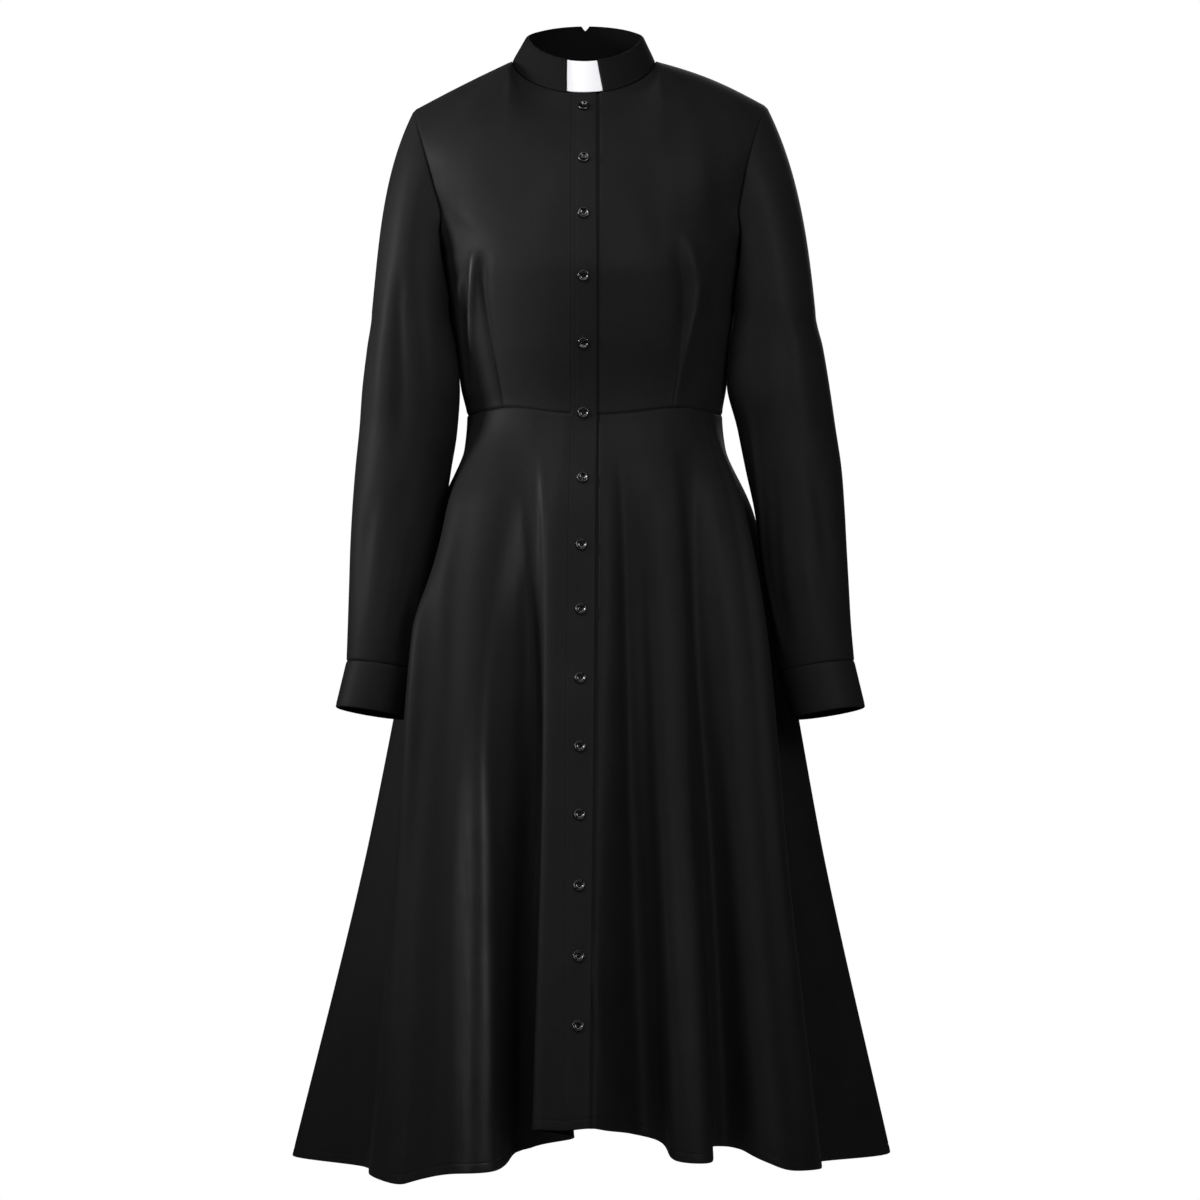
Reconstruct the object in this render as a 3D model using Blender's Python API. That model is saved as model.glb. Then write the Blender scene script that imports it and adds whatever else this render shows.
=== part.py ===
"""Clergy dress in its worn form, empty: a fitted bodice, a flared skirt, long sleeves with cuffs,
a buttoned placket from neck to hem, and a band collar with its white tab.

Metres, +Z up. The front faces -Y, and +X is the wearer's left. The origin is the middle of the
neck base, at the height of the high shoulder points. Tables are in millimetres.
"""
import math
from collections import namedtuple

import bmesh
import bpy
import numpy as np
from mathutils import Matrix, Vector

MM = 0.001

# Cloth
WALL = 1.5 * MM
COLLAR_WALL = 2.2 * MM
CUFF_WALL = 2.0 * MM
TAB_WALL = 1.2 * MM
SEAM = 0.3 * MM
SEAM_TRIM = 0.0006

# Placket: a strip over the buttons, from neck to hem
PLACKET_LEFT = -17 * MM
PLACKET_RIGHT = 9 * MM
UNDERLAP_START = 4 * MM
UNDERLAP_STEP = 5 * MM
UNDERLAP_EASE = 4 * MM
PLACKET_COLUMNS = 4

# Bodice
Level = namedtuple("Level", "name height middle half_width front back")
LEVELS = (
    Level("waist", -369, 7, 134, -106, 98),
    Level("midriff", -342, 6, 139, -109, 98),
    Level("ribs", -300, 5, 144, -120, 102),
    Level("bust", -232, 3, 155, -132, 109),
    Level("underarm", -205, 3, 160, -131, 112),
    Level("armhole", -165, 2, 154, -125, 116),
    Level("chest", -125, 0, 162, -113, 117),
)
WAIST, UNDERARM, ARMHOLE, CHEST = (-369 * MM, -205 * MM, -165 * MM, -125 * MM)
ARMHOLE_FRONT = -56 * MM
ARMHOLE_BACK = 62 * MM
CROWN = 100 * MM
WAIST_ROWS = (-0.369, -0.345, -0.315, -0.285, -0.255, -0.228)
UNDERARM_STEPS = 3
CROWN_ROWS = (0.14, 0.32, 0.52, 0.72, 0.88, 1.0)
SHOULDER_COLUMNS = 5
NECK_COLUMNS = 7
CHEST_EASE_ROW = 18 * MM
CHEST_TANGENT = 20 * MM
WAIST_CENTRE_DIP = 5 * MM
WAIST_CENTRE_WIDTH = 22
WAIST_PEAK = 4 * MM
WAIST_PEAK_ANGLE = 42
WAIST_PEAK_WIDTH = 16
WAIST_FADE = 60 * MM

# Neck and shoulders
NECK_MIDDLE = -4.5 * MM
NECK_HALF_WIDTH = 75 * MM
NECK_FRONT = (-65 * MM, -40.5 * MM)
NECK_BACK = (55 * MM, 13 * MM)
NECK_SIDE_HEIGHT = 2 * MM
NECK_ROUND = 1.15
NECK_SHARE = 0.44
SHOULDER_TIPS = {-1: (-183 * MM, 10 * MM, -48 * MM), 1: (188 * MM, 10 * MM, -44 * MM)}
SHOULDER_RISE = {-1: 1 * MM, 1: 5 * MM}
SHOULDER_LEAN = (34, 90)

# Collar and tab
COLLAR_TOP_MIDDLE = -3.2 * MM
COLLAR_TOP_HALF_WIDTH = 61 * MM
COLLAR_TOP_FRONT = (-55 * MM, -5 * MM)
COLLAR_TOP_BACK = (49 * MM, 47 * MM)
COLLAR_TOP_SIDE_HEIGHT = 29 * MM
COLLAR_END_RIGHT = (-22.5 * MM, -22.5 * MM)
COLLAR_END_LEFT = (16.7 * MM, 10.5 * MM)
COLLAR_ROWS = 4
COLLAR_COLUMNS = 19
COLLAR_LIFT = 0.5 * MM
NOTCH_HALF_ANGLE = 0.065
NOTCH_DEPTH = 5 * MM
TAB_TUCK = 8 * MM
TAB_COLUMNS = 8
TAB_LIFTS = (0.07, 0.38, 0.69, 1.0)

# Sleeves: inner and outer edge, front and back, and how far the inner front wraps over the bodice
Ring = namedtuple("Ring", "height inner outer front back wrap")
RIGHT_SLEEVE = (
    Ring(-262, -148.5, -226, -70, 46, 20),
    Ring(-300, -142, -231, -70, 46, 22),
    Ring(-342, -136, -236, -69, 45, 18),
    Ring(-384, -136.5, -239, -66, 41, 6),
    Ring(-426, -143, -243, -65, 36, 0),
    Ring(-468, -149, -246, -65, 30, 0),
    Ring(-510, -153, -248, -65, 24, 0),
    Ring(-552, -159, -249, -66, 17, 0),
    Ring(-594, -166, -250, -67, 9, 0),
    Ring(-633, -173, -251, -67, -1, 0),
)
LEFT_SLEEVE = (
    Ring(-262, 156, 238, -70, 46, 20),
    Ring(-300, 151.5, 246, -70, 46, 22),
    Ring(-342, 148, 253, -69, 45, 20),
    Ring(-384, 156.5, 259, -66, 41, 6),
    Ring(-426, 165, 265, -65, 36, 0),
    Ring(-468, 174, 268, -65, 30, 0),
    Ring(-510, 179, 270, -65, 24, 0),
    Ring(-552, 185, 272, -66, 17, 0),
    Ring(-594, 191, 274, -67, 9, 0),
    Ring(-633, 198, 277, -67, -1, 0),
)
RIGHT_CUFF_END = Ring(-680, -185, -262, -71, -7, 0)
LEFT_CUFF_END = Ring(-680, 211, 288, -71, -7, 0)
SLEEVE_HEAD_ROWS = (0.12, 0.3, 0.52, 0.76)
CUFF_ROWS = (0.0, 0.5, 1.0)
CUFF_COLUMNS = 24
CUFF_SLOPE_OUT = 0.16
CUFF_SLOPE_FRONT = 0.15
HEAD_TOP = (-0.45, 0.0, -0.89)
HEAD_UNDER = (-0.6, 0.0, -0.80)
HEAD_FLARE = 0.22
HEAD_EASE = 0.2
HEAD_SPREAD = 0.10

# Skirt: a row for each crest and hollow of the front, at the hip and at the hem
Fold = namedtuple("Fold", "name hip_x hip_y hem_x hem_y hem_z")
HIP_SHARE = 0.30
HIGH_HIP_SHARE = 0.13
HIGH_HIP_REACH = 0.56
KNEE_SHARE = 0.62
KNEE_REACH = 0.41
FRONT_FOLDS = (
    Fold("side_right", -149, -16, -234, -38, -1151),
    Fold("right_edge", -178, -97, -217, -160, -1139),
    Fold("right_lobe", -152, -120, -184, -212, -1139),
    Fold("right_dip", -134, -124, -145, -200, -1129),
    Fold("right_ridge", -114, -140, -114, -238, -1125),
    Fold("right_fall", -88, -134, -84, -216, -1126),
    Fold("recess", -64, -124, -56, -176, -1109),
    Fold("recess_end", -51, -128, -14, -188, -1097),
    Fold("panel_edge", -41, -143, -53, -254, -1079),
    Fold("placket_right", -21, -147, -23, -268, -1077),
    Fold("placket_left", 7, -148, 3, -268, -1075),
    Fold("panel_end", 23, -146, 21, -252, -1080),
    Fold("hollow", 42, -133, 52, -206, -1091),
    Fold("hollow_end", 56, -133, 84, -202, -1101),
    Fold("middle_edge", 65, -142, 77, -240, -1111),
    Fold("middle_lobe", 82, -142, 100, -245, -1113),
    Fold("middle_fall", 100, -130, 122, -228, -1114),
    Fold("gap", 110, -117, 123, -178, -1108),
    Fold("gap_end", 124, -115, 147, -177, -1110),
    Fold("left_lobe", 143, -117, 174, -200, -1118),
    Fold("left_crest", 164, -110, 202, -196, -1128),
    Fold("left_edge", 184, -92, 234, -156, -1133),
    Fold("side_left", 168, -16, 240, -40, -1146),
)
SIDE_CRESTS = (Fold("left_back", 209, 66, 322, 50, -1151), Fold("right_back", -191, 64, -315, 48, -1154))
BACK_FOLDS = 5
BACK_FOLD_SHAPE = ((0.0, -1.0), (0.36, 0.9), (0.66, 0.75))
BACK_REACH = (0.07, 0.93)
BACK_HIP = (4, 190, 122)
BACK_HIP_ARC = (20, 160)
BACK_HEM = (3, 296, 262)
BACK_HEM_ARC = (5, 175)
BACK_HIP_DEPTH = 4
BACK_HEM_DEPTH = 21
BACK_UNEVEN = 0.3
BACK_HEM_Z = -1140
BACK_HEM_WAVE = 6
SKIRT_SAMPLES = 3
SKIRT_ROWS = (0.0, 0.05, 0.12, 0.21, 0.30, 0.40, 0.52, 0.64, 0.76, 0.88, 1.0)

# Buttons
BUTTON_HEIGHTS = (-56, -113, -171, -235, -302, -372, -439, -507, -572, -641, -709, -776, -845, -913, -979)
BUTTON_PROFILE = ((0.0, 1.5), (3.1, 1.6), (4.5, 2.6), (5.4, 2.4), (5.8, 1.4), (5.0, 0.0), (0.0, 0.0))
BUTTON_RADIUS = 5.8 * MM
BUTTON_STEPS = 12
CUFF_BUTTON_ANGLE = 232

Finish = namedtuple("Finish", "colour roughness metallic")
CREPE = Finish((0.012, 0.012, 0.014, 1.0), 0.46, 0.0)
WHITE = Finish((0.86, 0.86, 0.85, 1.0), 0.35, 0.0)
GLOSS = Finish((0.010, 0.010, 0.011, 1.0), 0.18, 0.0)


def clear_scene():
    for thing in list(bpy.data.objects):
        bpy.data.objects.remove(thing, do_unlink=True)
    collection = bpy.data.collections.new("clergy_dress")
    bpy.context.scene.collection.children.link(collection)
    return collection


def unit(vectors):
    """Vectors at length 1, along the last axis."""
    vectors = np.asarray(vectors, dtype=float)
    return vectors / np.maximum(np.linalg.norm(vectors, axis=-1, keepdims=True), 1e-12)


def hermite(start, leave, end, arrive, share):
    """A cubic from start to end, with its speed at each."""
    s = share
    return ((2 * s**3 - 3 * s**2 + 1) * start + (s**3 - 2 * s**2 + s) * leave
            + (3 * s**2 - 2 * s**3) * end + (s**3 - s**2) * arrive)


def through(knots, values, place):
    """A smooth curve through a value at each knot, read at one place. Knots rise, and it starts level."""
    values = np.asarray(values, dtype=float)
    slopes = np.zeros_like(values)
    last = len(knots) - 1
    for index in range(1, len(knots)):
        before, after = index - 1, min(index + 1, last)
        slopes[index] = (values[after] - values[before]) / (knots[after] - knots[before])
    piece = int(np.clip(np.searchsorted(knots, place) - 1, 0, last - 1))
    width = knots[piece + 1] - knots[piece]
    share = (place - knots[piece]) / width
    return hermite(values[piece], slopes[piece] * width, values[piece + 1], slopes[piece + 1] * width, share)


def solve(function, target, low, high):
    """The place between low and high where a rising function reaches its target."""
    for _ in range(40):
        middle = (low + high) / 2
        if function(middle) < target:
            low = middle
        else:
            high = middle
    return (low + high) / 2


def material(name, finish):
    made = bpy.data.materials.new(name)
    made.use_nodes = True
    shader = made.node_tree.nodes["Principled BSDF"]
    shader.inputs["Base Color"].default_value = finish.colour
    shader.inputs["Roughness"].default_value = finish.roughness
    shader.inputs["Metallic"].default_value = finish.metallic
    return made


def wall(collection, name, outer, inner, finish, around=False):
    """A closed wall between an outer and an inner grid of points, in rows and columns."""
    rows, columns = outer.shape[:2]
    mesh = bpy.data.meshes.new(name)
    build = bmesh.new()
    skins = [[[build.verts.new(point) for point in row] for row in grid] for grid in (outer, inner)]
    steps = columns if around else columns - 1
    for row in range(rows - 1):
        for column in range(steps):
            beside = (column + 1) % columns
            for skin in skins:
                build.faces.new((skin[row][column], skin[row][beside],
                                 skin[row + 1][beside], skin[row + 1][column]))
    for row in (0, rows - 1):
        for column in range(steps):
            beside = (column + 1) % columns
            build.faces.new((skins[0][row][column], skins[0][row][beside],
                             skins[1][row][beside], skins[1][row][column]))
    if not around:
        for column in (0, columns - 1):
            for row in range(rows - 1):
                build.faces.new((skins[0][row][column], skins[0][row + 1][column],
                                 skins[1][row + 1][column], skins[1][row][column]))
    bmesh.ops.recalc_face_normals(build, faces=build.faces)
    build.to_mesh(mesh)
    build.free()
    mesh.shade_smooth()
    mesh.set_sharp_from_angle(angle=math.radians(40))
    mesh.materials.append(material(name, finish))
    thing = bpy.data.objects.new(name, mesh)
    collection.objects.link(thing)
    return thing


def waist_height(angle):
    """The waist seam's height at an angle round from the centre front: a dip there, a peak at each dart."""
    turn = abs(angle)
    dip = WAIST_CENTRE_DIP * math.exp(-(turn / WAIST_CENTRE_WIDTH) ** 2)
    peak = WAIST_PEAK * math.exp(-((turn - WAIST_PEAK_ANGLE) / WAIST_PEAK_WIDTH) ** 2)
    return WAIST - dip + peak


def waist_point(angle):
    """A point on the waist seam; the angle is 0 at the centre front and 90 at the wearer's left."""
    level = LEVELS[0]
    turn = math.radians(angle)
    depth = -level.front if math.cos(turn) > 0 else level.back
    height = waist_height(angle if angle <= 180 else angle - 360)
    return np.array(((level.middle + level.half_width * math.sin(turn)) * MM,
                     -depth * math.cos(turn) * MM, height))


def neck_point(turn, back, lift=0.0):
    """A point on the collar's ring: turn is 0 at the centre and 90 degrees at a side, lift 0 to 1."""
    base_y, base_z = NECK_BACK if back else NECK_FRONT
    top_y, top_z = COLLAR_TOP_BACK if back else COLLAR_TOP_FRONT
    middle = NECK_MIDDLE + (COLLAR_TOP_MIDDLE - NECK_MIDDLE) * lift
    half = NECK_HALF_WIDTH + (COLLAR_TOP_HALF_WIDTH - NECK_HALF_WIDTH) * lift
    depth = base_y + (top_y - base_y) * lift
    centre = base_z + (top_z - base_z) * lift
    side = NECK_SIDE_HEIGHT + (COLLAR_TOP_SIDE_HEIGHT - NECK_SIDE_HEIGHT) * lift
    share = max(math.cos(turn), 0.0) ** NECK_ROUND
    return np.array((middle + half * math.sin(turn), depth * math.cos(turn), side + (centre - side) * share))


def top_edge(across, back):
    """The bodice's top edge: the neckline, then the shoulder seam. across runs from -1 to 1."""
    reach = abs(across)
    side = 1 if across > 0 else -1
    if reach <= NECK_SHARE:
        return neck_point(side * math.pi / 2 * reach / NECK_SHARE, back)
    start = neck_point(side * math.pi / 2, back)
    end = np.array(SHOULDER_TIPS[side])
    share = (reach - NECK_SHARE) / (1 - NECK_SHARE)
    rise = SHOULDER_RISE[side] * math.sin(math.pi * min(share, 1.0))
    return start + (end - start) * share + np.array((0, 0, rise))


def level_point(height, across, back):
    """A point of the bodice up to the chest line."""
    knots = [level.height * MM for level in LEVELS]
    table = [(level.middle, level.half_width, level.back if back else level.front) for level in LEVELS]
    middle, half, centre = through(knots, table, height) * MM
    edge = ARMHOLE_BACK if back else ARMHOLE_FRONT
    if height <= UNDERARM:
        edge = 0.0
    elif height < ARMHOLE:
        drop = (ARMHOLE - height) / (ARMHOLE - UNDERARM)
        edge *= math.sqrt(1 - drop**2)
    span = math.acos(edge / centre)
    turn = across * span
    seam = waist_height(math.degrees(turn) if not back else 180 - math.degrees(turn)) - WAIST
    fade = max(0.0, 1 - (height - WAIST) / WAIST_FADE)
    return np.array((middle + half * math.sin(turn) / math.sin(span), centre * math.cos(turn),
                     height + seam * fade))


def bodice_point(climb, across, back):
    """A point of the bodice's outer side. climb is a height up to the chest, then CHEST plus 0 to CROWN."""
    if climb <= CHEST:
        return level_point(climb, across, back)
    share = (climb - CHEST) / CROWN
    start = level_point(CHEST, across, back)
    below = level_point(CHEST - CHEST_TANGENT, across, back)
    end = top_edge(across, back)
    length = np.linalg.norm(end - start)
    roll = min(abs(across) / NECK_SHARE, 1.0)
    lean = math.radians(SHOULDER_LEAN[0] + (SHOULDER_LEAN[1] - SHOULDER_LEAN[0]) * roll**2)
    inward = -1.0 if back else 1.0
    arrive = np.array((0, inward * math.sin(lean), math.cos(lean))) * length
    return hermite(start, unit(start - below) * length, end, arrive, share)


def bodice_normal(climb, across, back):
    step = 1e-4
    along = bodice_point(climb, across + step, back) - bodice_point(climb, across - step, back)
    high = min(climb + 2 * step, CHEST + CROWN) if climb > CHEST else climb
    low = high - step
    up = bodice_point(high, across, back) - bodice_point(low, across, back)
    normal = unit(np.cross(along, up))
    return -normal if back else normal


def bodice_climbs():
    arc = [ARMHOLE - (ARMHOLE - UNDERARM) * math.cos(math.pi / 2 * step / UNDERARM_STEPS)
           for step in range(UNDERARM_STEPS + 1)]
    crown = [CHEST + CROWN * share for share in CROWN_ROWS]
    return list(WAIST_ROWS) + arc + [CHEST - CHEST_EASE_ROW, CHEST] + crown


def bodice_rows(columns_of, back, sink=None):
    """Outer and inner grids of a bodice panel. columns_of gives each row's places across."""
    outer, inner = [], []
    climbs = bodice_climbs()
    for climb in climbs:
        row, lining = [], []
        for across in columns_of(climb):
            point = bodice_point(climb, across, back)
            normal = bodice_normal(climb, across, back)
            if climb == climbs[0]:
                point = point + np.array((0, 0, SEAM))
            if sink is not None:
                point = point - normal * sink(point[0])
            row.append(point)
            lining.append(point - normal * WALL)
        outer.append(row)
        inner.append(lining)
    return np.array(outer), np.array(inner)


def place_at(climb, x):
    """Where across the front the bodice reaches an x, at one climb."""
    return solve(lambda across: bodice_point(climb, across, False)[0], x, -0.9, 0.9)


def underlap_sink(edge):
    """How far the left front is set in beneath the placket, and just past its edge."""
    def sink(x):
        share = np.clip((edge + UNDERLAP_STEP - x) / UNDERLAP_EASE, 0, 1)
        return (WALL + SEAM) * share * share * (3 - 2 * share)
    return sink


def spread(low, high, count):
    return [low + (high - low) * index / (count - 1) for index in range(count)]


def panel_places(outer, inner):
    """Places across a front panel, from its side seam to its inner edge, with one at the neck point."""
    neck = math.copysign(NECK_SHARE, outer)
    return spread(outer, neck, SHOULDER_COLUMNS) + spread(neck, inner, NECK_COLUMNS)[1:]


def make_bodice(collection):
    side = 1 - SEAM_TRIM

    def right(climb):
        return panel_places(-side, place_at(climb, PLACKET_LEFT - SEAM))

    def left(climb):
        start = place_at(climb, PLACKET_LEFT + UNDERLAP_START)
        edge = place_at(climb, PLACKET_RIGHT)
        step = place_at(climb, PLACKET_RIGHT + UNDERLAP_STEP)
        return [start, edge] + panel_places(side, step)[::-1]

    def whole(climb):
        half = panel_places(side, 0.0)
        return [-place for place in half] + half[-2::-1]

    wall(collection, "bodice_front_right", *bodice_rows(right, False), CREPE)
    wall(collection, "bodice_front_left", *bodice_rows(left, False, underlap_sink(PLACKET_RIGHT)), CREPE)
    outer, inner = bodice_rows(whole, True)
    gap = np.array((0, SEAM, 0))
    outer[-1] = outer[-1] + gap
    inner[-1] = inner[-1] + gap
    wall(collection, "bodice_back", outer, inner, CREPE)


def ring_point(ring, turn, slope):
    """A point of a sleeve ring: turn is 0 at the outside of the arm and 90 degrees at its front."""
    half, depth = (ring.outer - ring.inner) / 2, (ring.back - ring.front) / 2
    wrap = math.copysign(ring.wrap, half) * max(0.0, -math.sin(turn) * math.cos(turn)) * (turn < math.pi)
    x = (ring.outer + ring.inner) / 2 + half * math.cos(turn) - wrap
    y = (ring.back + ring.front) / 2 - depth * math.sin(turn)
    rise = slope * (CUFF_SLOPE_OUT * abs(half) * math.cos(turn) + CUFF_SLOPE_FRONT * depth * math.sin(turn))
    return np.array((x, y, ring.height + rise)) * MM


def armhole(side):
    """The armhole from the shoulder tip down its front, up its back: points, ways out and normals."""
    climbs = [climb for climb in bodice_climbs() if climb >= UNDERARM - 1e-9]
    steps = [(climb, False) for climb in reversed(climbs)] + [(climb, True) for climb in climbs[1:-1]]
    points = np.array([bodice_point(climb, side, back) for climb, back in steps])
    normals = np.array([bodice_normal(climb, side, back) for climb, back in steps])
    onward = np.array([bodice_point(climb, side * (1 + 1e-3), back) for climb, back in steps]) - points
    tangents = unit(np.roll(points, -1, axis=0) - np.roll(points, 1, axis=0))
    onward = onward - tangents * np.sum(onward * tangents, axis=1, keepdims=True)
    underarm = len(climbs) - 1
    onward[underarm] = (0, 0, 1)
    return points, unit(onward), normals


def grid_normals(grid, side):
    """Outward normals of rows that run downwards round a tube; side gives which way its columns turn."""
    across = np.roll(grid, -1, axis=1) - np.roll(grid, 1, axis=1)
    down = np.gradient(grid, axis=0)
    return unit(np.cross(down, across)) * side


def sleeve_grids(rings, side):
    """Outer and inner grids of one sleeve. side is -1 at the wearer's right and 1 at the left."""
    loop, ways, normals = armhole(side)
    count = len(loop)
    turns = [2 * math.pi * index / count for index in range(count)]
    start = loop + ways * SEAM / 2
    rows = [start]
    flip = np.array((-side, 1, 1))
    for share in SLEEVE_HEAD_ROWS:
        row = []
        for turn, point in zip(turns, start):
            weight = (1 + math.cos(turn)) / 2
            way = np.array(HEAD_TOP) * weight + np.array(HEAD_UNDER) * (1 - weight)
            way = unit(way + np.array((0, -HEAD_FLARE * math.sin(turn), 0))) * flip
            end = ring_point(rings[0], turn, 0)
            reach = np.linalg.norm(end - point)
            leave = way * reach * (HEAD_EASE + (1 - HEAD_EASE) * weight)
            row.append(hermite(point, leave, end, np.array((side * HEAD_SPREAD, 0, -1)) * reach, share))
        rows.append(np.array(row))
    for index, ring in enumerate(rings):
        slope = (index / (len(rings) - 1)) ** 2
        rows.append(np.array([ring_point(ring, turn, slope) for turn in turns]))
    outer = np.array(rows)
    outward = grid_normals(outer, -side)
    outward[0] = normals
    return outer, outer - outward * WALL


def make_sleeve(collection, name, rings, side):
    outer, inner = sleeve_grids(rings, side)
    wall(collection, "sleeve_" + name, outer, inner, CREPE, around=True)


def cuff_grid(top, end, side):
    turns = [2 * math.pi * index / CUFF_COLUMNS for index in range(CUFF_COLUMNS)]
    rows = []
    for share in CUFF_ROWS:
        ring = Ring(*(low + (high - low) * share for low, high in zip(top, end)))
        rows.append([ring_point(ring, turn, 1.0) for turn in turns])
    outer = np.array(rows)
    outer[0] = outer[0] - np.array((0, 0, SEAM))
    return outer, grid_normals(outer, -side)


def make_cuff(collection, name, top, end, side):
    outer, outward = cuff_grid(top, end, side)
    wall(collection, "cuff_" + name, outer, outer - outward * CUFF_WALL, CREPE, around=True)
    column = round(CUFF_BUTTON_ANGLE / 360 * CUFF_COLUMNS)
    make_button(collection, "cuff_button_" + name, outer[1][column], outward[1][column])


def collar_turns(lift):
    """The collar's ends, as turns round its ring: the gap between them holds the tab."""
    middle = NECK_MIDDLE + (COLLAR_TOP_MIDDLE - NECK_MIDDLE) * lift
    half = NECK_HALF_WIDTH + (COLLAR_TOP_HALF_WIDTH - NECK_HALF_WIDTH) * lift
    right = COLLAR_END_RIGHT[0] + (COLLAR_END_RIGHT[1] - COLLAR_END_RIGHT[0]) * lift
    left = COLLAR_END_LEFT[0] + (COLLAR_END_LEFT[1] - COLLAR_END_LEFT[0]) * lift
    return math.asin((right - middle) / half), math.asin((left - middle) / half)


def ring_round(turn, lift):
    """The collar's ring all the way round: turn is 0 at the centre front and pi at the centre back."""
    if math.cos(turn) >= 0:
        return neck_point(turn, False, lift)
    return neck_point(math.pi - turn, True, lift)


def collar_normal(turn, lift):
    step = 1e-3
    around = ring_round(turn + step, lift) - ring_round(turn - step, lift)
    up = ring_round(turn, lift + step) - ring_round(turn, lift - step)
    return unit(np.cross(around, up))


def make_collar(collection):
    outer, inner = [], []
    for row in range(COLLAR_ROWS + 1):
        lift = row / COLLAR_ROWS
        right, left = collar_turns(lift)
        turns = (spread(left, math.pi - NOTCH_HALF_ANGLE, COLLAR_COLUMNS) + [math.pi]
                 + spread(math.pi + NOTCH_HALF_ANGLE, 2 * math.pi + right, COLLAR_COLUMNS))
        points = np.array([ring_round(turn, lift) for turn in turns])
        outward = np.array([collar_normal(turn, lift) for turn in turns])
        if row == 0:
            points[:, 2] += COLLAR_LIFT
        if row == COLLAR_ROWS:
            points[COLLAR_COLUMNS, 2] -= NOTCH_DEPTH
        outer.append(points)
        inner.append(points - outward * COLLAR_WALL)
    wall(collection, "collar", np.array(outer), np.array(inner), CREPE)


def make_tab(collection):
    outer, inner = [], []
    for lift in TAB_LIFTS:
        right, left = collar_turns(lift)
        tuck = TAB_TUCK / NECK_HALF_WIDTH
        row, lining = [], []
        for turn in spread(right - tuck, left + tuck, TAB_COLUMNS + 1):
            outward = collar_normal(turn, lift)
            point = ring_round(turn, lift) - outward * (COLLAR_WALL + SEAM)
            row.append(point)
            lining.append(point - outward * TAB_WALL)
        outer.append(row)
        inner.append(lining)
    wall(collection, "collar_tab", np.array(outer), np.array(inner), WHITE)


def skirt_folds():
    """Every crest and hollow round the skirt, from the right side seam across the front and round the back."""
    places = [(number + share, depth) for number in range(BACK_FOLDS) for share, depth in BACK_FOLD_SHAPE]
    around = []
    for number, (place, depth) in enumerate(places + [(BACK_FOLDS, -1.0)]):
        share = BACK_REACH[0] + (BACK_REACH[1] - BACK_REACH[0]) * place / BACK_FOLDS
        uneven = depth * (1 + BACK_UNEVEN * math.sin(2.3 * place + 1.0))
        hip = math.radians(BACK_HIP_ARC[0] + (BACK_HIP_ARC[1] - BACK_HIP_ARC[0]) * share)
        hem = math.radians(BACK_HEM_ARC[0] + (BACK_HEM_ARC[1] - BACK_HEM_ARC[0]) * share)
        hip_depth, hem_depth = BACK_HIP_DEPTH * uneven, BACK_HEM_DEPTH * uneven
        around.append(Fold("back_%d" % number,
                           BACK_HIP[0] + (BACK_HIP[1] + hip_depth) * math.cos(hip),
                           (BACK_HIP[2] + hip_depth) * math.sin(hip),
                           BACK_HEM[0] + (BACK_HEM[1] + hem_depth) * math.cos(hem),
                           (BACK_HEM[2] + hem_depth) * math.sin(hem),
                           BACK_HEM_Z + BACK_HEM_WAVE * math.cos(1.9 * place)))
    return list(FRONT_FOLDS) + [SIDE_CRESTS[0]] + around + [SIDE_CRESTS[1]]


def fold_index(name):
    return [fold.name for fold in FRONT_FOLDS].index(name)


def waist_angles(folds):
    """Each fold's place on the waist seam: the cloth fans evenly between the seams that are fixed there."""
    level = LEVELS[0]
    fixed = [(0, -90.0)]
    for name, x in (("placket_right", PLACKET_LEFT), ("placket_left", PLACKET_RIGHT)):
        fixed.append((fold_index(name), math.degrees(math.asin((x / MM - level.middle) / level.half_width))))
    fixed += [(fold_index("side_left"), 90.0), (len(folds), 270.0)]
    points = np.array([(fold.hem_x, fold.hem_y) for fold in folds + folds[:1]])
    run = np.concatenate(([0.0], np.cumsum(np.linalg.norm(np.diff(points, axis=0), axis=1))))
    places = [run[index] for index, _ in fixed]
    return np.interp(run[:-1], places, [angle for _, angle in fixed])


def ring_through(points):
    """A closed smooth ring through its points, with a few samples to each stretch."""
    before, after = np.roll(points, 1, axis=0), np.roll(points, -1, axis=0)
    slopes = (after - before) / 2
    ring = []
    for index in range(len(points)):
        beyond = (index + 1) % len(points)
        for sample in range(SKIRT_SAMPLES):
            ring.append(hermite(points[index], slopes[index], points[beyond], slopes[beyond],
                                sample / SKIRT_SAMPLES))
    return np.array(ring)


def skirt_grid():
    folds = skirt_folds()
    lines = []
    for fold, angle in zip(folds, waist_angles(folds)):
        waist = waist_point(angle)
        hip, hem = np.array((fold.hip_x, fold.hip_y)) * MM, np.array((fold.hem_x, fold.hem_y)) * MM
        high_hip = waist[:2] + (hip - waist[:2]) * HIGH_HIP_REACH
        knee = hip + (hem - hip) * KNEE_REACH
        knots, places = (0.0, HIGH_HIP_SHARE, HIP_SHARE, KNEE_SHARE, 1.0), (waist[:2], high_hip, hip, knee, hem)
        line = []
        for share in SKIRT_ROWS:
            place = through(knots, places, share)
            line.append((*place, waist[2] + (fold.hem_z * MM - waist[2]) * share))
        lines.append(line)
    grid = np.array([ring_through(np.array([line[row] for line in lines])) for row in range(len(SKIRT_ROWS))])
    return grid, grid_normals(grid, 1)


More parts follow.
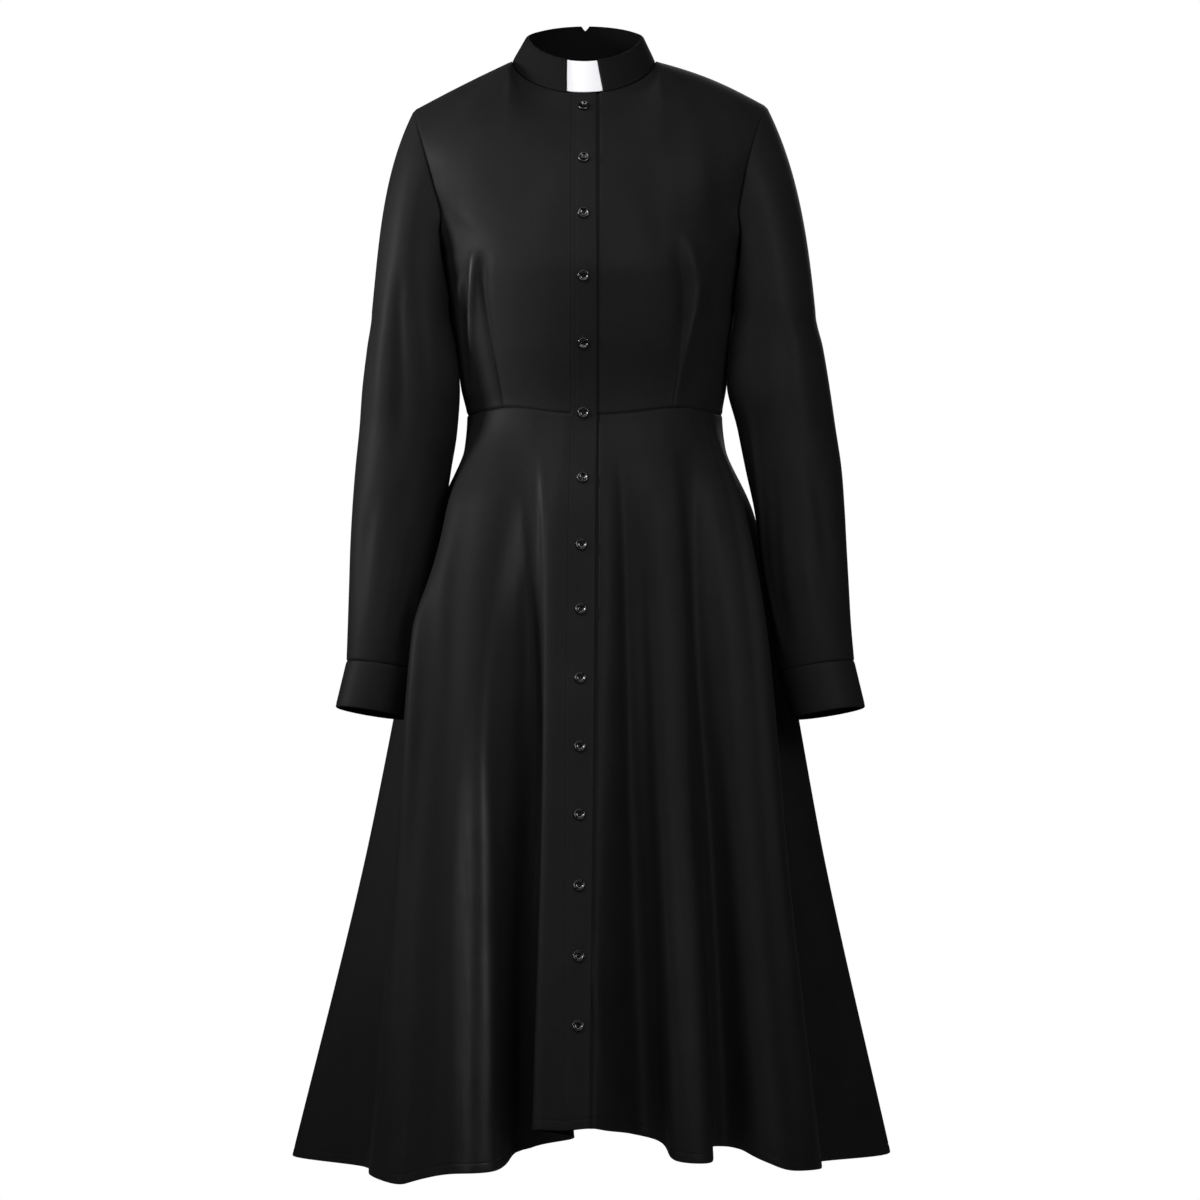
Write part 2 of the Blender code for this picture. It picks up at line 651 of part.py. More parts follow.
def make_skirt(collection):
    grid, outward = skirt_grid()
    count = grid.shape[1]
    along = unit(np.roll(grid, -1, axis=1) - np.roll(grid, 1, axis=1))
    right_edge = fold_index("placket_right") * SKIRT_SAMPLES
    left_edge = fold_index("placket_left") * SKIRT_SAMPLES
    side = fold_index("side_left") * SKIRT_SAMPLES
    panels = (("skirt_front_right", range(0, right_edge + 1), SEAM / 2, SEAM),
              ("skirt_front_left", range(right_edge + 1, side + 1), 0.0, SEAM / 2),
              ("skirt_back", range(side, count + 1), SEAM / 2, SEAM / 2))
    for name, columns, start_gap, end_gap in panels:
        picked = [column % count for column in columns]
        outer, normals, ways = grid[:, picked].copy(), outward[:, picked], along[:, picked]
        outer[:, 0] += ways[:, 0] * start_gap
        outer[:, -1] -= ways[:, -1] * end_gap
        outer[0] -= np.array((0, 0, SEAM / 2))
        if name == "skirt_front_left":
            under = left_edge - right_edge
            outer[:, :under] -= normals[:, :under] * (WALL + SEAM)
        wall(collection, name, outer, outer - normals * WALL, CREPE)


def placket_grids():
    """The strip from the neck to the hem: its bodice rows, then its skirt rows."""
    outer, normals = [], []
    for climb in reversed(bodice_climbs()):
        places = spread(place_at(climb, PLACKET_LEFT), place_at(climb, PLACKET_RIGHT), PLACKET_COLUMNS)
        outer.append([bodice_point(climb, across, False) for across in places])
        normals.append([bodice_normal(climb, across, False) for across in places])
    grid, outward = skirt_grid()
    first = fold_index("placket_right") * SKIRT_SAMPLES
    picked = slice(first, first + PLACKET_COLUMNS)
    outer += [row[picked] for row in grid[1:]]
    normals += [row[picked] for row in outward[1:]]
    return np.array(outer), np.array(normals)


def make_placket(collection):
    outer, normals = placket_grids()
    wall(collection, "placket", outer, outer - normals * WALL, CREPE)
    middle = outer[:, 1:3].mean(axis=1)
    outward = unit(normals[:, 1:3].mean(axis=1))

    def read(lines, height):
        return np.array([np.interp(-height, -middle[:, 2], lines[:, axis]) for axis in range(3)])

    for number, height in enumerate(BUTTON_HEIGHTS, start=1):
        point, normal = read(middle, height * MM), unit(read(outward, height * MM))
        ends = [read(middle, height * MM + reach) - point for reach in (-BUTTON_RADIUS, BUTTON_RADIUS)]
        seat = max(0.0, *(float(end @ normal) for end in ends))
        make_button(collection, "button_%02d" % number, point + normal * seat, normal)


def make_button(collection, name, point, normal):
    """A dished button that faces along a normal, just clear of the cloth under it."""
    mesh = bpy.data.meshes.new(name)
    build = bmesh.new()
    rings = []
    for radius, height in BUTTON_PROFILE:
        steps = BUTTON_STEPS if radius > 0 else 1
        rings.append([build.verts.new((radius * MM * math.cos(2 * math.pi * step / steps),
                                       radius * MM * math.sin(2 * math.pi * step / steps),
                                       height * MM)) for step in range(steps)])
    for upper, lower in zip(rings, rings[1:]):
        for step in range(BUTTON_STEPS):
            beside = (step + 1) % BUTTON_STEPS
            corners = {corner: None for corner in (upper[step % len(upper)], lower[step % len(lower)],
                                                   lower[beside % len(lower)], upper[beside % len(upper)])}
            build.faces.new(tuple(corners))
    bmesh.ops.recalc_face_normals(build, faces=build.faces)
    frame = Vector(normal).to_track_quat("Z", "Y").to_matrix().to_4x4()
    build.transform(Matrix.Translation(Vector(point) + Vector(normal) * SEAM) @ frame)
    build.to_mesh(mesh)
    build.free()
    mesh.shade_smooth()
    mesh.set_sharp_from_angle(angle=math.radians(50))
    mesh.materials.append(material(name, GLOSS))
    collection.objects.link(bpy.data.objects.new(name, mesh))


def main():
    collection = clear_scene()
    make_bodice(collection)
    make_sleeve(collection, "right", RIGHT_SLEEVE, -1)
    make_sleeve(collection, "left", LEFT_SLEEVE, 1)
    make_cuff(collection, "right", RIGHT_SLEEVE[-1], RIGHT_CUFF_END, -1)
    make_cuff(collection, "left", LEFT_SLEEVE[-1], LEFT_CUFF_END, 1)
    make_collar(collection)
    make_tab(collection)
    make_skirt(collection)
    make_placket(collection)


main()
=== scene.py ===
"""Looks for the clergy dress: crepe shells with folds, darts and seams, sewing, buttons and studio.

Metres, +Z up, the front faces -Y, and +X is the wearer's left. Tables are in millimetres.
"""
import math
from collections import namedtuple

import bmesh
import bpy
import numpy as np
from bpy.props import FloatProperty, FloatVectorProperty, IntProperty, PointerProperty
from bpy.types import Operator, Panel, PropertyGroup
from mathutils import Matrix, Vector


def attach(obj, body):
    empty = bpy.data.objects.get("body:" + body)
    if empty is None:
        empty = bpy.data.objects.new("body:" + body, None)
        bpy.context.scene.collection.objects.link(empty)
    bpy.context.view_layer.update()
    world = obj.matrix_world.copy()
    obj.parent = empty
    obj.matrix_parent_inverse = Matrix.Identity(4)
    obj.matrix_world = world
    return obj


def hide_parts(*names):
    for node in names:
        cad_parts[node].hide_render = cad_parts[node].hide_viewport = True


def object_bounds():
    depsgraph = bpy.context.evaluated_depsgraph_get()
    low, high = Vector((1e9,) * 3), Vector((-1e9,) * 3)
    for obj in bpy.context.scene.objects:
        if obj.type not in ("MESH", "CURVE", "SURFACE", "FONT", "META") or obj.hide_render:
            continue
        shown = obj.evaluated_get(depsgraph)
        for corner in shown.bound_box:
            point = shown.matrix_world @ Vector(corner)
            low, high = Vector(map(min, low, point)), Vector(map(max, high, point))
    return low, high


bl_info = {
    "name": "Clergy dress",
    "version": (1, 0, 0),
    "blender": (4, 5, 0),
    "location": "View3D > Sidebar > Clergy dress",
    "description": "Makes the cloth, sewing, buttons and studio of a clergy dress round its frame",
    "category": "Object",
}

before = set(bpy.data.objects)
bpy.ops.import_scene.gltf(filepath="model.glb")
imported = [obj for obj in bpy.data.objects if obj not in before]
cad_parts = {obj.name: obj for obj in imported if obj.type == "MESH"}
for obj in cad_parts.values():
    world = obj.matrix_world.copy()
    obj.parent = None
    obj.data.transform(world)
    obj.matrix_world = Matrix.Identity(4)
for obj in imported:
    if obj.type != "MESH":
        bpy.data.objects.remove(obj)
CAD_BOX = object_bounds()

MM = 0.001

# Walls of the stiffer pieces, gaps at the seams, the placket's edges and the step beneath it
COLLAR_WALL = 2.2 * MM
CUFF_WALL = 2.0 * MM
TAB_WALL = 1.2 * MM
SEAM = 0.3 * MM
SEAM_TRIM = 0.0006
PLACKET_LEFT = -17 * MM
PLACKET_RIGHT = 9 * MM
UNDERLAP_STEP = 5 * MM
UNDERLAP_SINK = 2.6 * MM

# Bodice
Level = namedtuple("Level", "name height middle half_width front back")
LEVELS = (
    Level("waist", -369, 7, 134, -106, 98),
    Level("midriff", -342, 6, 139, -109, 98),
    Level("ribs", -300, 5, 144, -120, 102),
    Level("bust", -232, 3, 155, -132, 109),
    Level("underarm", -205, 3, 160, -131, 112),
    Level("armhole", -165, 2, 154, -125, 116),
    Level("chest", -125, 0, 162, -113, 117),
)
WAIST = -369 * MM
UNDERARM = -205 * MM
ARMHOLE = -165 * MM
CHEST = -125 * MM
ARMHOLE_FRONT = -56 * MM
ARMHOLE_BACK = 62 * MM
ARMHOLE_REACH = 4
ARMHOLE_BEND = 18 * MM
CHEST_SLOPE = 20 * MM
CROWN = 100 * MM
UNDERARM_STEPS = 3
CROWN_ROWS = (0.14, 0.32, 0.52, 0.72, 0.88, 1.0)
WAIST_CENTRE_DIP = 5 * MM
WAIST_CENTRE_WIDTH = 22
WAIST_PEAK = 4 * MM
WAIST_PEAK_ANGLE = 42
WAIST_PEAK_WIDTH = 16
WAIST_FADE = 60 * MM

# Neck and shoulders
NECK_MIDDLE = -4.5 * MM
NECK_HALF_WIDTH = 75 * MM
NECK_FRONT = (-65 * MM, -40.5 * MM)
NECK_BACK = (55 * MM, 13 * MM)
NECK_SIDE_HEIGHT = 2 * MM
NECK_ROUND = 1.15
NECK_SHARE = 0.44
SHOULDER_TIPS = {-1: (-183 * MM, 10 * MM, -48 * MM), 1: (188 * MM, 10 * MM, -44 * MM)}
SHOULDER_RISE = {-1: 1 * MM, 1: 5 * MM}
SHOULDER_LEAN = (34, 90)

# Collar and tab
COLLAR_TOP_MIDDLE = -3.2 * MM
COLLAR_TOP_HALF_WIDTH = 61 * MM
COLLAR_TOP_FRONT = (-55 * MM, -5 * MM)
COLLAR_TOP_BACK = (49 * MM, 47 * MM)
COLLAR_TOP_SIDE_HEIGHT = 29 * MM
COLLAR_END_RIGHT = (-22.5 * MM, -22.5 * MM)
COLLAR_END_LEFT = (16.7 * MM, 10.5 * MM)
COLLAR_LIFT = 0.5 * MM
COLLAR_BAND = 34 * MM
NOTCH_HALF_ANGLE = 0.065
NOTCH_DEPTH = 5 * MM
NOTCH_ROUND = 0.8
TAB_TUCK = 8 * MM
TAB_FOOT = 0.07

# Sleeves: inner and outer edge, front and back, and how far the inner front wraps over the bodice
Ring = namedtuple("Ring", "height inner outer front back wrap")
RIGHT_SLEEVE = (
    Ring(-262, -148.5, -226, -70, 46, 20),
    Ring(-300, -142, -231, -70, 46, 22),
    Ring(-342, -136, -236, -69, 45, 18),
    Ring(-384, -136.5, -239, -66, 41, 6),
    Ring(-426, -143, -243, -65, 36, 0),
    Ring(-468, -149, -246, -65, 30, 0),
    Ring(-510, -153, -248, -65, 24, 0),
    Ring(-552, -159, -249, -66, 17, 0),
    Ring(-594, -166, -250, -67, 9, 0),
    Ring(-633, -173, -251, -67, -1, 0),
)
LEFT_SLEEVE = (
    Ring(-262, 156, 238, -70, 46, 20),
    Ring(-300, 151.5, 246, -70, 46, 22),
    Ring(-342, 148, 253, -69, 45, 20),
    Ring(-384, 156.5, 259, -66, 41, 6),
    Ring(-426, 165, 265, -65, 36, 0),
    Ring(-468, 174, 268, -65, 30, 0),
    Ring(-510, 179, 270, -65, 24, 0),
    Ring(-552, 185, 272, -66, 17, 0),
    Ring(-594, 191, 274, -67, 9, 0),
    Ring(-633, 198, 277, -67, -1, 0),
)
RIGHT_CUFF_END = Ring(-680, -185, -262, -71, -7, 0)
LEFT_CUFF_END = Ring(-680, 211, 288, -71, -7, 0)
CUFF_SLOPE_OUT = 0.16
CUFF_SLOPE_FRONT = 0.15
HEAD_TOP = (-0.45, 0.0, -0.89)
HEAD_UNDER = (-0.6, 0.0, -0.80)
HEAD_FLARE = 0.22
HEAD_EASE = 0.2
HEAD_SPREAD = 0.10

# Skirt: a row for each crest and hollow of the front, at the hip and at the hem
Fold = namedtuple("Fold", "name hip_x hip_y hem_x hem_y hem_z")
SKIRT_KNOTS = (0.0, 0.13, 0.30, 0.62, 1.0)
HIGH_HIP_REACH = 0.56
KNEE_REACH = 0.41
FRONT_FOLDS = (
    Fold("side_right", -149, -16, -234, -38, -1151),
    Fold("right_edge", -178, -97, -217, -160, -1139),
    Fold("right_lobe", -152, -120, -184, -212, -1139),
    Fold("right_dip", -134, -124, -145, -200, -1129),
    Fold("right_ridge", -114, -140, -114, -238, -1125),
    Fold("right_fall", -88, -134, -84, -216, -1126),
    Fold("recess", -64, -124, -56, -176, -1109),
    Fold("recess_end", -51, -128, -14, -188, -1097),
    Fold("panel_edge", -41, -143, -53, -254, -1079),
    Fold("placket_right", -21, -147, -23, -268, -1077),
    Fold("placket_left", 7, -148, 3, -268, -1075),
    Fold("panel_end", 23, -146, 21, -252, -1080),
    Fold("hollow", 42, -133, 52, -206, -1091),
    Fold("hollow_end", 56, -133, 84, -202, -1101),
    Fold("middle_edge", 65, -142, 77, -240, -1111),
    Fold("middle_lobe", 82, -142, 100, -245, -1113),
    Fold("middle_fall", 100, -130, 122, -228, -1114),
    Fold("gap", 110, -117, 123, -178, -1108),
    Fold("gap_end", 124, -115, 147, -177, -1110),
    Fold("left_lobe", 143, -117, 174, -200, -1118),
    Fold("left_crest", 164, -110, 202, -196, -1128),
    Fold("left_edge", 184, -92, 234, -156, -1133),
    Fold("side_left", 168, -16, 240, -40, -1146),
)
SIDE_CRESTS = (Fold("left_back", 209, 66, 322, 50, -1151), Fold("right_back", -191, 64, -315, 48, -1154))
BACK_FOLDS = 5
BACK_FOLD_SHAPE = ((0.0, -1.0), (0.36, 0.9), (0.66, 0.75))
BACK_HIP = (4, 190, 122)
BACK_HEM = (3, 296, 262)
BACK_HIP_DEPTH = 4
BACK_HEM_DEPTH = 21
BACK_HEM_Z = -1140
BACK_SPAN = (0.07, 0.93)
BACK_HIP_TURN = (20, 160)
BACK_HEM_TURN = (5, 175)
BACK_UNEVEN = 0.3
BACK_UNEVEN_TURN = 2.3
BACK_HEM_SWAY = 6
BACK_HEM_SWAY_TURN = 1.9

# Heights of the placket's buttons, and degrees round the arm to a cuff's
BUTTON_HEIGHTS = (-56, -113, -171, -235, -302, -372, -439, -507, -572, -641, -709, -776, -845, -913, -979)
CUFF_BUTTON_ANGLE = 232

# How many times a search halves its range, the least length, and the small steps that slopes are read over
HALVINGS = 40
TINY = 1e-12
BODICE_STEP = 1e-4
COLLAR_STEP = 1e-3


def unit(vectors):
    """Vectors at length 1, along the last axis."""
    vectors = np.asarray(vectors, dtype=float)
    return vectors / np.maximum(np.linalg.norm(vectors, axis=-1, keepdims=True), TINY)


def stacked(*values):
    """Points from their x, y and z."""
    return np.stack(np.broadcast_arrays(*values), axis=-1)


def part_way(start, end, share):
    """The value at a share of the way from start to end."""
    return start + (end - start) * share


def hermite(start, leave, end, arrive, share):
    """A cubic from start to end, with its speed at each."""
    s = share
    return ((2 * s**3 - 3 * s**2 + 1) * start + (s**3 - 2 * s**2 + s) * leave
            + (3 * s**2 - 2 * s**3) * end + (s**3 - s**2) * arrive)


def smooth_share(value):
    """0 up to 0, 1 from 1 on, with a soft start and end."""
    share = np.clip(value, 0, 1)
    return share * share * (3 - 2 * share)


def through(knots, values, place):
    """Smooth curves through rows of values at rising knots, read at places. They start level."""
    knots = np.asarray(knots, dtype=float)
    values = np.asarray(values, dtype=float).reshape(len(knots), -1)
    slopes = np.zeros_like(values)
    slopes[1:-1] = (values[2:] - values[:-2]) / (knots[2:] - knots[:-2])[:, None]
    slopes[-1] = (values[-1] - values[-2]) / (knots[-1] - knots[-2])
    place = np.asarray(place, dtype=float)
    piece = np.clip(np.searchsorted(knots, place) - 1, 0, len(knots) - 2)
    width = (knots[piece + 1] - knots[piece])[..., None]
    share = (place - knots[piece])[..., None] / width
    return hermite(values[piece], slopes[piece] * width, values[piece + 1], slopes[piece + 1] * width, share)


def solve(function, target, low, high):
    """The places between low and high where a rising function reaches its target."""
    low, high = np.broadcast_arrays(np.asarray(low, float), np.asarray(high, float) + 0 * target)
    for _ in range(HALVINGS):
        middle = (low + high) / 2
        under = function(middle) < target
        low, high = np.where(under, middle, low), np.where(under, high, middle)
    return (low + high) / 2


def waist_height(angle):
    """The waist seam's height at angles round from the centre front: a dip there, a peak at each dart."""
    turn = np.abs(angle)
    dip = WAIST_CENTRE_DIP * np.exp(-(turn / WAIST_CENTRE_WIDTH) ** 2)
    peak = WAIST_PEAK * np.exp(-((turn - WAIST_PEAK_ANGLE) / WAIST_PEAK_WIDTH) ** 2)
    return WAIST - dip + peak


def waist_point(angle):
    """Points on the waist seam; the angle is 0 at the centre front and 90 at the wearer's left."""
    level = LEVELS[0]
    turn = np.radians(angle)
    depth = np.where(np.cos(turn) > 0, -level.front, level.back)
    height = waist_height(np.where(angle <= 180, angle, angle - 360))
    return stacked((level.middle + level.half_width * np.sin(turn)) * MM, -depth * np.cos(turn) * MM, height)


def neck_point(turn, back, lift=0.0):
    """Points on the collar's ring: turn is 0 at the centre and 90 degrees at a side, lift 0 to 1."""
    base_y, base_z = NECK_BACK if back else NECK_FRONT
    top_y, top_z = COLLAR_TOP_BACK if back else COLLAR_TOP_FRONT
    middle = part_way(NECK_MIDDLE, COLLAR_TOP_MIDDLE, lift)
    half = part_way(NECK_HALF_WIDTH, COLLAR_TOP_HALF_WIDTH, lift)
    depth, centre = part_way(base_y, top_y, lift), part_way(base_z, top_z, lift)
    side = part_way(NECK_SIDE_HEIGHT, COLLAR_TOP_SIDE_HEIGHT, lift)
    share = np.maximum(np.cos(turn), 0.0) ** NECK_ROUND
    return stacked(middle + half * np.sin(turn), depth * np.cos(turn), part_way(side, centre, share))


def top_edge(across, back):
    """The bodice's top edge: the neckline, then the shoulder seam. across runs from -1 to 1."""
    left = (across > 0)[..., None]
    neck = neck_point(np.sign(across) * math.pi / 2 * np.minimum(np.abs(across) / NECK_SHARE, 1), back)
    share = np.maximum((np.abs(across) - NECK_SHARE) / (1 - NECK_SHARE), 0.0)[..., None]
    rise = np.where(left, SHOULDER_RISE[1], SHOULDER_RISE[-1]) * np.sin(math.pi * np.minimum(share, 1.0))
    end = np.where(left, SHOULDER_TIPS[1], SHOULDER_TIPS[-1])
    return part_way(neck, end, share) + rise * np.array((0, 0, 1))


def level_point(height, across, back):
    """Points of the bodice up to the chest line."""
    table = [(level.middle, level.half_width, level.back if back else level.front) for level in LEVELS]
    read = through([level.height * MM for level in LEVELS], table, height) * MM
    middle, half, centre = np.moveaxis(read, -1, 0)
    drop = np.clip((ARMHOLE - height) / (ARMHOLE - UNDERARM), 0, 1)
    edge = np.abs(across) ** ARMHOLE_REACH
    cut = edge * (1 - drop**2) + (1 - edge) * smooth_share((height - UNDERARM) / (CHEST - UNDERARM))
    span = np.arccos((ARMHOLE_BACK if back else ARMHOLE_FRONT) * np.sqrt(cut) / centre)
    turn = across * span
    angle = 180 - np.degrees(turn) if back else np.degrees(turn)
    seam = (waist_height(angle) - WAIST) * np.maximum(0.0, 1 - (height - WAIST) / WAIST_FADE)
    return stacked(middle + half * np.sin(turn) / np.sin(span), centre * np.cos(turn), height + seam)


def bodice_point(climb, across, back):
    """Points of the bodice's outer side. climb is a height up to the chest, then CHEST plus 0 to CROWN."""
    climb, across = np.broadcast_arrays(np.asarray(climb, float), np.asarray(across, float))
    share = np.maximum(climb - CHEST, 0.0)[..., None] / CROWN
    start = level_point(np.minimum(climb, CHEST), across, back)
    below = level_point(np.minimum(climb, CHEST) - CHEST_SLOPE, across, back)
    end = top_edge(across, back)
    length = np.linalg.norm(end - start, axis=-1, keepdims=True)
    roll = np.minimum(np.abs(across) / NECK_SHARE, 1.0)
    lean = np.radians(part_way(*SHOULDER_LEAN, roll**2))
    arrive = stacked(0, (-1.0 if back else 1.0) * np.sin(lean), np.cos(lean)) * length
    return hermite(start, unit(start - below) * length, end, arrive, share)


def bodice_normal(climb, across, back):
    """The bodice's outward normals."""
    step = BODICE_STEP
    high = np.minimum(climb + step, CHEST + CROWN)
    along = bodice_point(climb, across + step, back) - bodice_point(climb, across - step, back)
    up = bodice_point(high, across, back) - bodice_point(high - 2 * step, across, back)
    return unit(np.cross(along, up)) * (-1 if back else 1)


def place_at(climb, x, back=False):
    """Where across the bodice it reaches an x, at each climb."""
    return solve(lambda across: bodice_point(climb, across, back)[..., 0], x, -1.0, 1.0)


def armhole_climb(step):
    """The climb at steps up the armhole, from 0 at the underarm to 11 at the shoulder tip."""
    arc = ARMHOLE - (ARMHOLE - UNDERARM) * np.cos(math.pi / 2 * np.minimum(step / UNDERARM_STEPS, 1))
    knots = [ARMHOLE, CHEST - ARMHOLE_BEND, CHEST] + [CHEST + CROWN * share for share in CROWN_ROWS]
    return np.where(step < UNDERARM_STEPS, arc, np.interp(step - UNDERARM_STEPS, range(len(knots)), knots))


def armhole(side, turns):
    """The armhole's points: turn is 0 at the shoulder tip, 180 degrees at the underarm, front first."""
    top = UNDERARM_STEPS + 2 + len(CROWN_ROWS)
    step = top * np.abs(turns - math.pi) / math.pi
    climb = armhole_climb(step)
    front, back = bodice_point(climb, side, False), bodice_point(climb, side, True)
    return np.where((turns <= math.pi)[:, None], front, back)


def ring_point(ring, turn, slope):
    """Points of a sleeve ring: turn is 0 at the outside of the arm and 90 degrees at its front."""
    half, depth = (ring.outer - ring.inner) / 2, (ring.back - ring.front) / 2
    wrap = np.sign(half) * ring.wrap * np.maximum(0.0, -np.sin(turn) * np.cos(turn)) * (turn < math.pi)
    rise = slope * (CUFF_SLOPE_OUT * abs(half) * np.cos(turn) + CUFF_SLOPE_FRONT * depth * np.sin(turn))
    return stacked((ring.outer + ring.inner) / 2 + half * np.cos(turn) - wrap,
                   (ring.back + ring.front) / 2 - depth * np.sin(turn), ring.height + rise) * MM


def ring_between(start, end, share):
    """The sleeve ring at a share of the way from one to another."""
    return Ring(*(part_way(low, high, share) for low, high in zip(start, end)))


def sleeve_grid(rings, side, turns, head_rows, arm_rows):
    """A sleeve's outer points, from the armhole down to the cuff seam."""
    start = armhole(side, turns)
    end = ring_point(rings[0], turns, 0)
    weight = ((1 + np.cos(turns)) / 2)[:, None]
    way = part_way(np.array(HEAD_UNDER), np.array(HEAD_TOP), weight)
    way = unit(way + stacked(0, -HEAD_FLARE * np.sin(turns), 0)) * np.array((-side, 1, 1))
    reach = np.linalg.norm(end - start, axis=1, keepdims=True)
    leave = way * reach * part_way(HEAD_EASE, 1, weight)
    arrive = np.array((side * HEAD_SPREAD, 0, -1)) * reach
    rows = [hermite(start, leave, end, arrive, share) for share in head_rows]
    drops = [-ring.height for ring in rings]
    for drop in np.interp(arm_rows, (0, 1), (drops[0], drops[-1])):
        ring = Ring(-drop, *through(drops, [ring[1:] for ring in rings], drop))
        slope = ((drop - drops[0]) / (drops[-1] - drops[0])) ** 2
        rows.append(ring_point(ring, turns, slope))
    return np.array(rows)


def collar_turns(lift):
    """The collar's ends, as turns round its ring: the gap between them holds the tab."""
    middle = part_way(NECK_MIDDLE, COLLAR_TOP_MIDDLE, lift)
    half = part_way(NECK_HALF_WIDTH, COLLAR_TOP_HALF_WIDTH, lift)
    ends = COLLAR_END_RIGHT, COLLAR_END_LEFT
    return [math.asin((part_way(*end, lift) - middle) / half) for end in ends]


def ring_round(turn, lift):
    """The collar's ring all the way round: turn is 0 at the centre front and pi at the centre back."""
    front = (np.cos(turn) >= 0)[..., None]
    return np.where(front, neck_point(turn, False, lift), neck_point(math.pi - turn, True, lift))


def collar_normal(turn, lift):
    """The collar's outward normals."""
    step = COLLAR_STEP
    around = ring_round(turn + step, lift) - ring_round(turn - step, lift)
    up = ring_round(turn, lift + step) - ring_round(turn, lift - step)
    return unit(np.cross(around, up))


def skirt_folds():
    """Every crest and hollow round the skirt, from the right side across the front and round the back."""
    places = [(number + share, depth) for number in range(BACK_FOLDS) for share, depth in BACK_FOLD_SHAPE]
    around = []
    for number, (place, depth) in enumerate(places + [(BACK_FOLDS, -1.0)]):
        share = part_way(*BACK_SPAN, place / BACK_FOLDS)
        uneven = depth * (1 + BACK_UNEVEN * math.sin(BACK_UNEVEN_TURN * place + 1.0))
        hip, hem = (math.radians(part_way(*turn, share)) for turn in (BACK_HIP_TURN, BACK_HEM_TURN))
        hip_depth, hem_depth = BACK_HIP_DEPTH * uneven, BACK_HEM_DEPTH * uneven
        around.append(Fold("back_%d" % number,
                           BACK_HIP[0] + (BACK_HIP[1] + hip_depth) * math.cos(hip),
                           (BACK_HIP[2] + hip_depth) * math.sin(hip),
                           BACK_HEM[0] + (BACK_HEM[1] + hem_depth) * math.cos(hem),
                           (BACK_HEM[2] + hem_depth) * math.sin(hem),
                           BACK_HEM_Z + BACK_HEM_SWAY * math.cos(BACK_HEM_SWAY_TURN * place)))
    return list(FRONT_FOLDS) + [SIDE_CRESTS[0]] + around + [SIDE_CRESTS[1]]


def fold_index(name):
    """A front fold's number, from the right side seam."""
    return [fold.name for fold in FRONT_FOLDS].index(name)


def waist_angles(folds):
    """Each fold's place on the waist seam: the cloth fans evenly between the seams that are fixed there."""
    level = LEVELS[0]
    fixed = [(0, -90.0)]
    for name, x in (("placket_right", PLACKET_LEFT), ("placket_left", PLACKET_RIGHT)):
        fixed.append((fold_index(name), math.degrees(math.asin((x / MM - level.middle) / level.half_width))))
    fixed += [(fold_index("side_left"), 90.0), (len(folds), 270.0)]
    points = np.array([(fold.hem_x, fold.hem_y) for fold in folds + folds[:1]])
    run = np.concatenate(([0.0], np.cumsum(np.linalg.norm(np.diff(points, axis=0), axis=1))))
    places = [run[index] for index, _ in fixed]
    return np.interp(run[:-1], places, [angle for _, angle in fixed])


def skirt_grid(shares, columns):
    """The skirt's outer points: shares run down from the waist, columns count folds round from the right."""
    folds = skirt_folds()
    angles = waist_angles(folds)
    waist = waist_point(angles)
    hip = np.array([(fold.hip_x, fold.hip_y) for fold in folds]) * MM
    hem = np.array([(fold.hem_x, fold.hem_y, fold.hem_z) for fold in folds]) * MM
    high_hip = part_way(waist[:, :2], hip, HIGH_HIP_REACH)
    knee = part_way(hip, hem[:, :2], KNEE_REACH)
    spots = np.stack([waist[:, :2], high_hip, hip, knee, hem[:, :2]])
    flat = through(SKIRT_KNOTS, spots, shares).reshape(len(shares), len(folds), 2)
    height = part_way(waist[:, 2], hem[:, 2], np.asarray(shares)[:, None])
    lines = np.concatenate((flat, height[..., None]), axis=-1)
    slopes = (np.roll(lines, -1, axis=1) - np.roll(lines, 1, axis=1)) / 2
    first = np.floor(columns).astype(int)
    share = (np.asarray(columns) - first)[None, :, None]
    first, second = first % len(folds), (first + 1) % len(folds)
    return hermite(lines[:, first], slopes[:, first], lines[:, second], slopes[:, second], share)


# Relief along an edge of a panel: which way the grid runs, from which end, how far in, how wide and deep
Relief = namedtuple("Relief", "axis end place width depth")

# How far a shell's rim bulges out, as a share of its thickness
RIM_BULGE = 0.45


def run_along(grid, axis, end):
    """How far each point is from the first or last row or column of a grid, along the cloth."""
    steps = np.linalg.norm(np.diff(grid, axis=axis), axis=-1)
    edge = np.zeros_like(np.take(steps, [0], axis=axis))
    run = np.concatenate((edge, np.cumsum(steps, axis=axis)), axis=axis)
    return run if end == 0 else np.take(run, [-1], axis=axis) - run


def grid_normals(grid, around, like=None):
    """Outward normals of a grid. like is a rough outward direction, which settles the sign."""
    if around:
        across = np.roll(grid, -1, axis=1) - np.roll(grid, 1, axis=1)
    else:
        across = np.gradient(grid, axis=1)
    normals = unit(np.cross(np.gradient(grid, axis=0), across))
    if like is None:
        like = grid - grid.mean(axis=1, keepdims=True) if around else grid * np.array((1, 1, 0))
    return normals * (1 if np.sum(normals * like) > 0 else -1)


def crease_shift(place, height, creases):
    """How far the cloth stands out at each point, in metres, for creases that run down a panel.

    A crease is rows from its top to its foot: height, place, its first and second half width, and depth.
    """
    total = np.zeros_like(place)
    for rows in creases:
        drops = [-row[0] for row in rows]
        drop = np.clip(-height, drops[0], drops[-1])
        read = through(drops, [row[1:] for row in rows], drop)
        centre, first, second, depth = np.moveaxis(read, -1, 0)
        width = np.where(place < centre, first, second)
        inside = (-height >= drops[0]) & (-height <= drops[-1])
        total += np.where(inside, depth, 0.0) * np.exp(-((place - centre) / width) ** 2)
    return total * MM


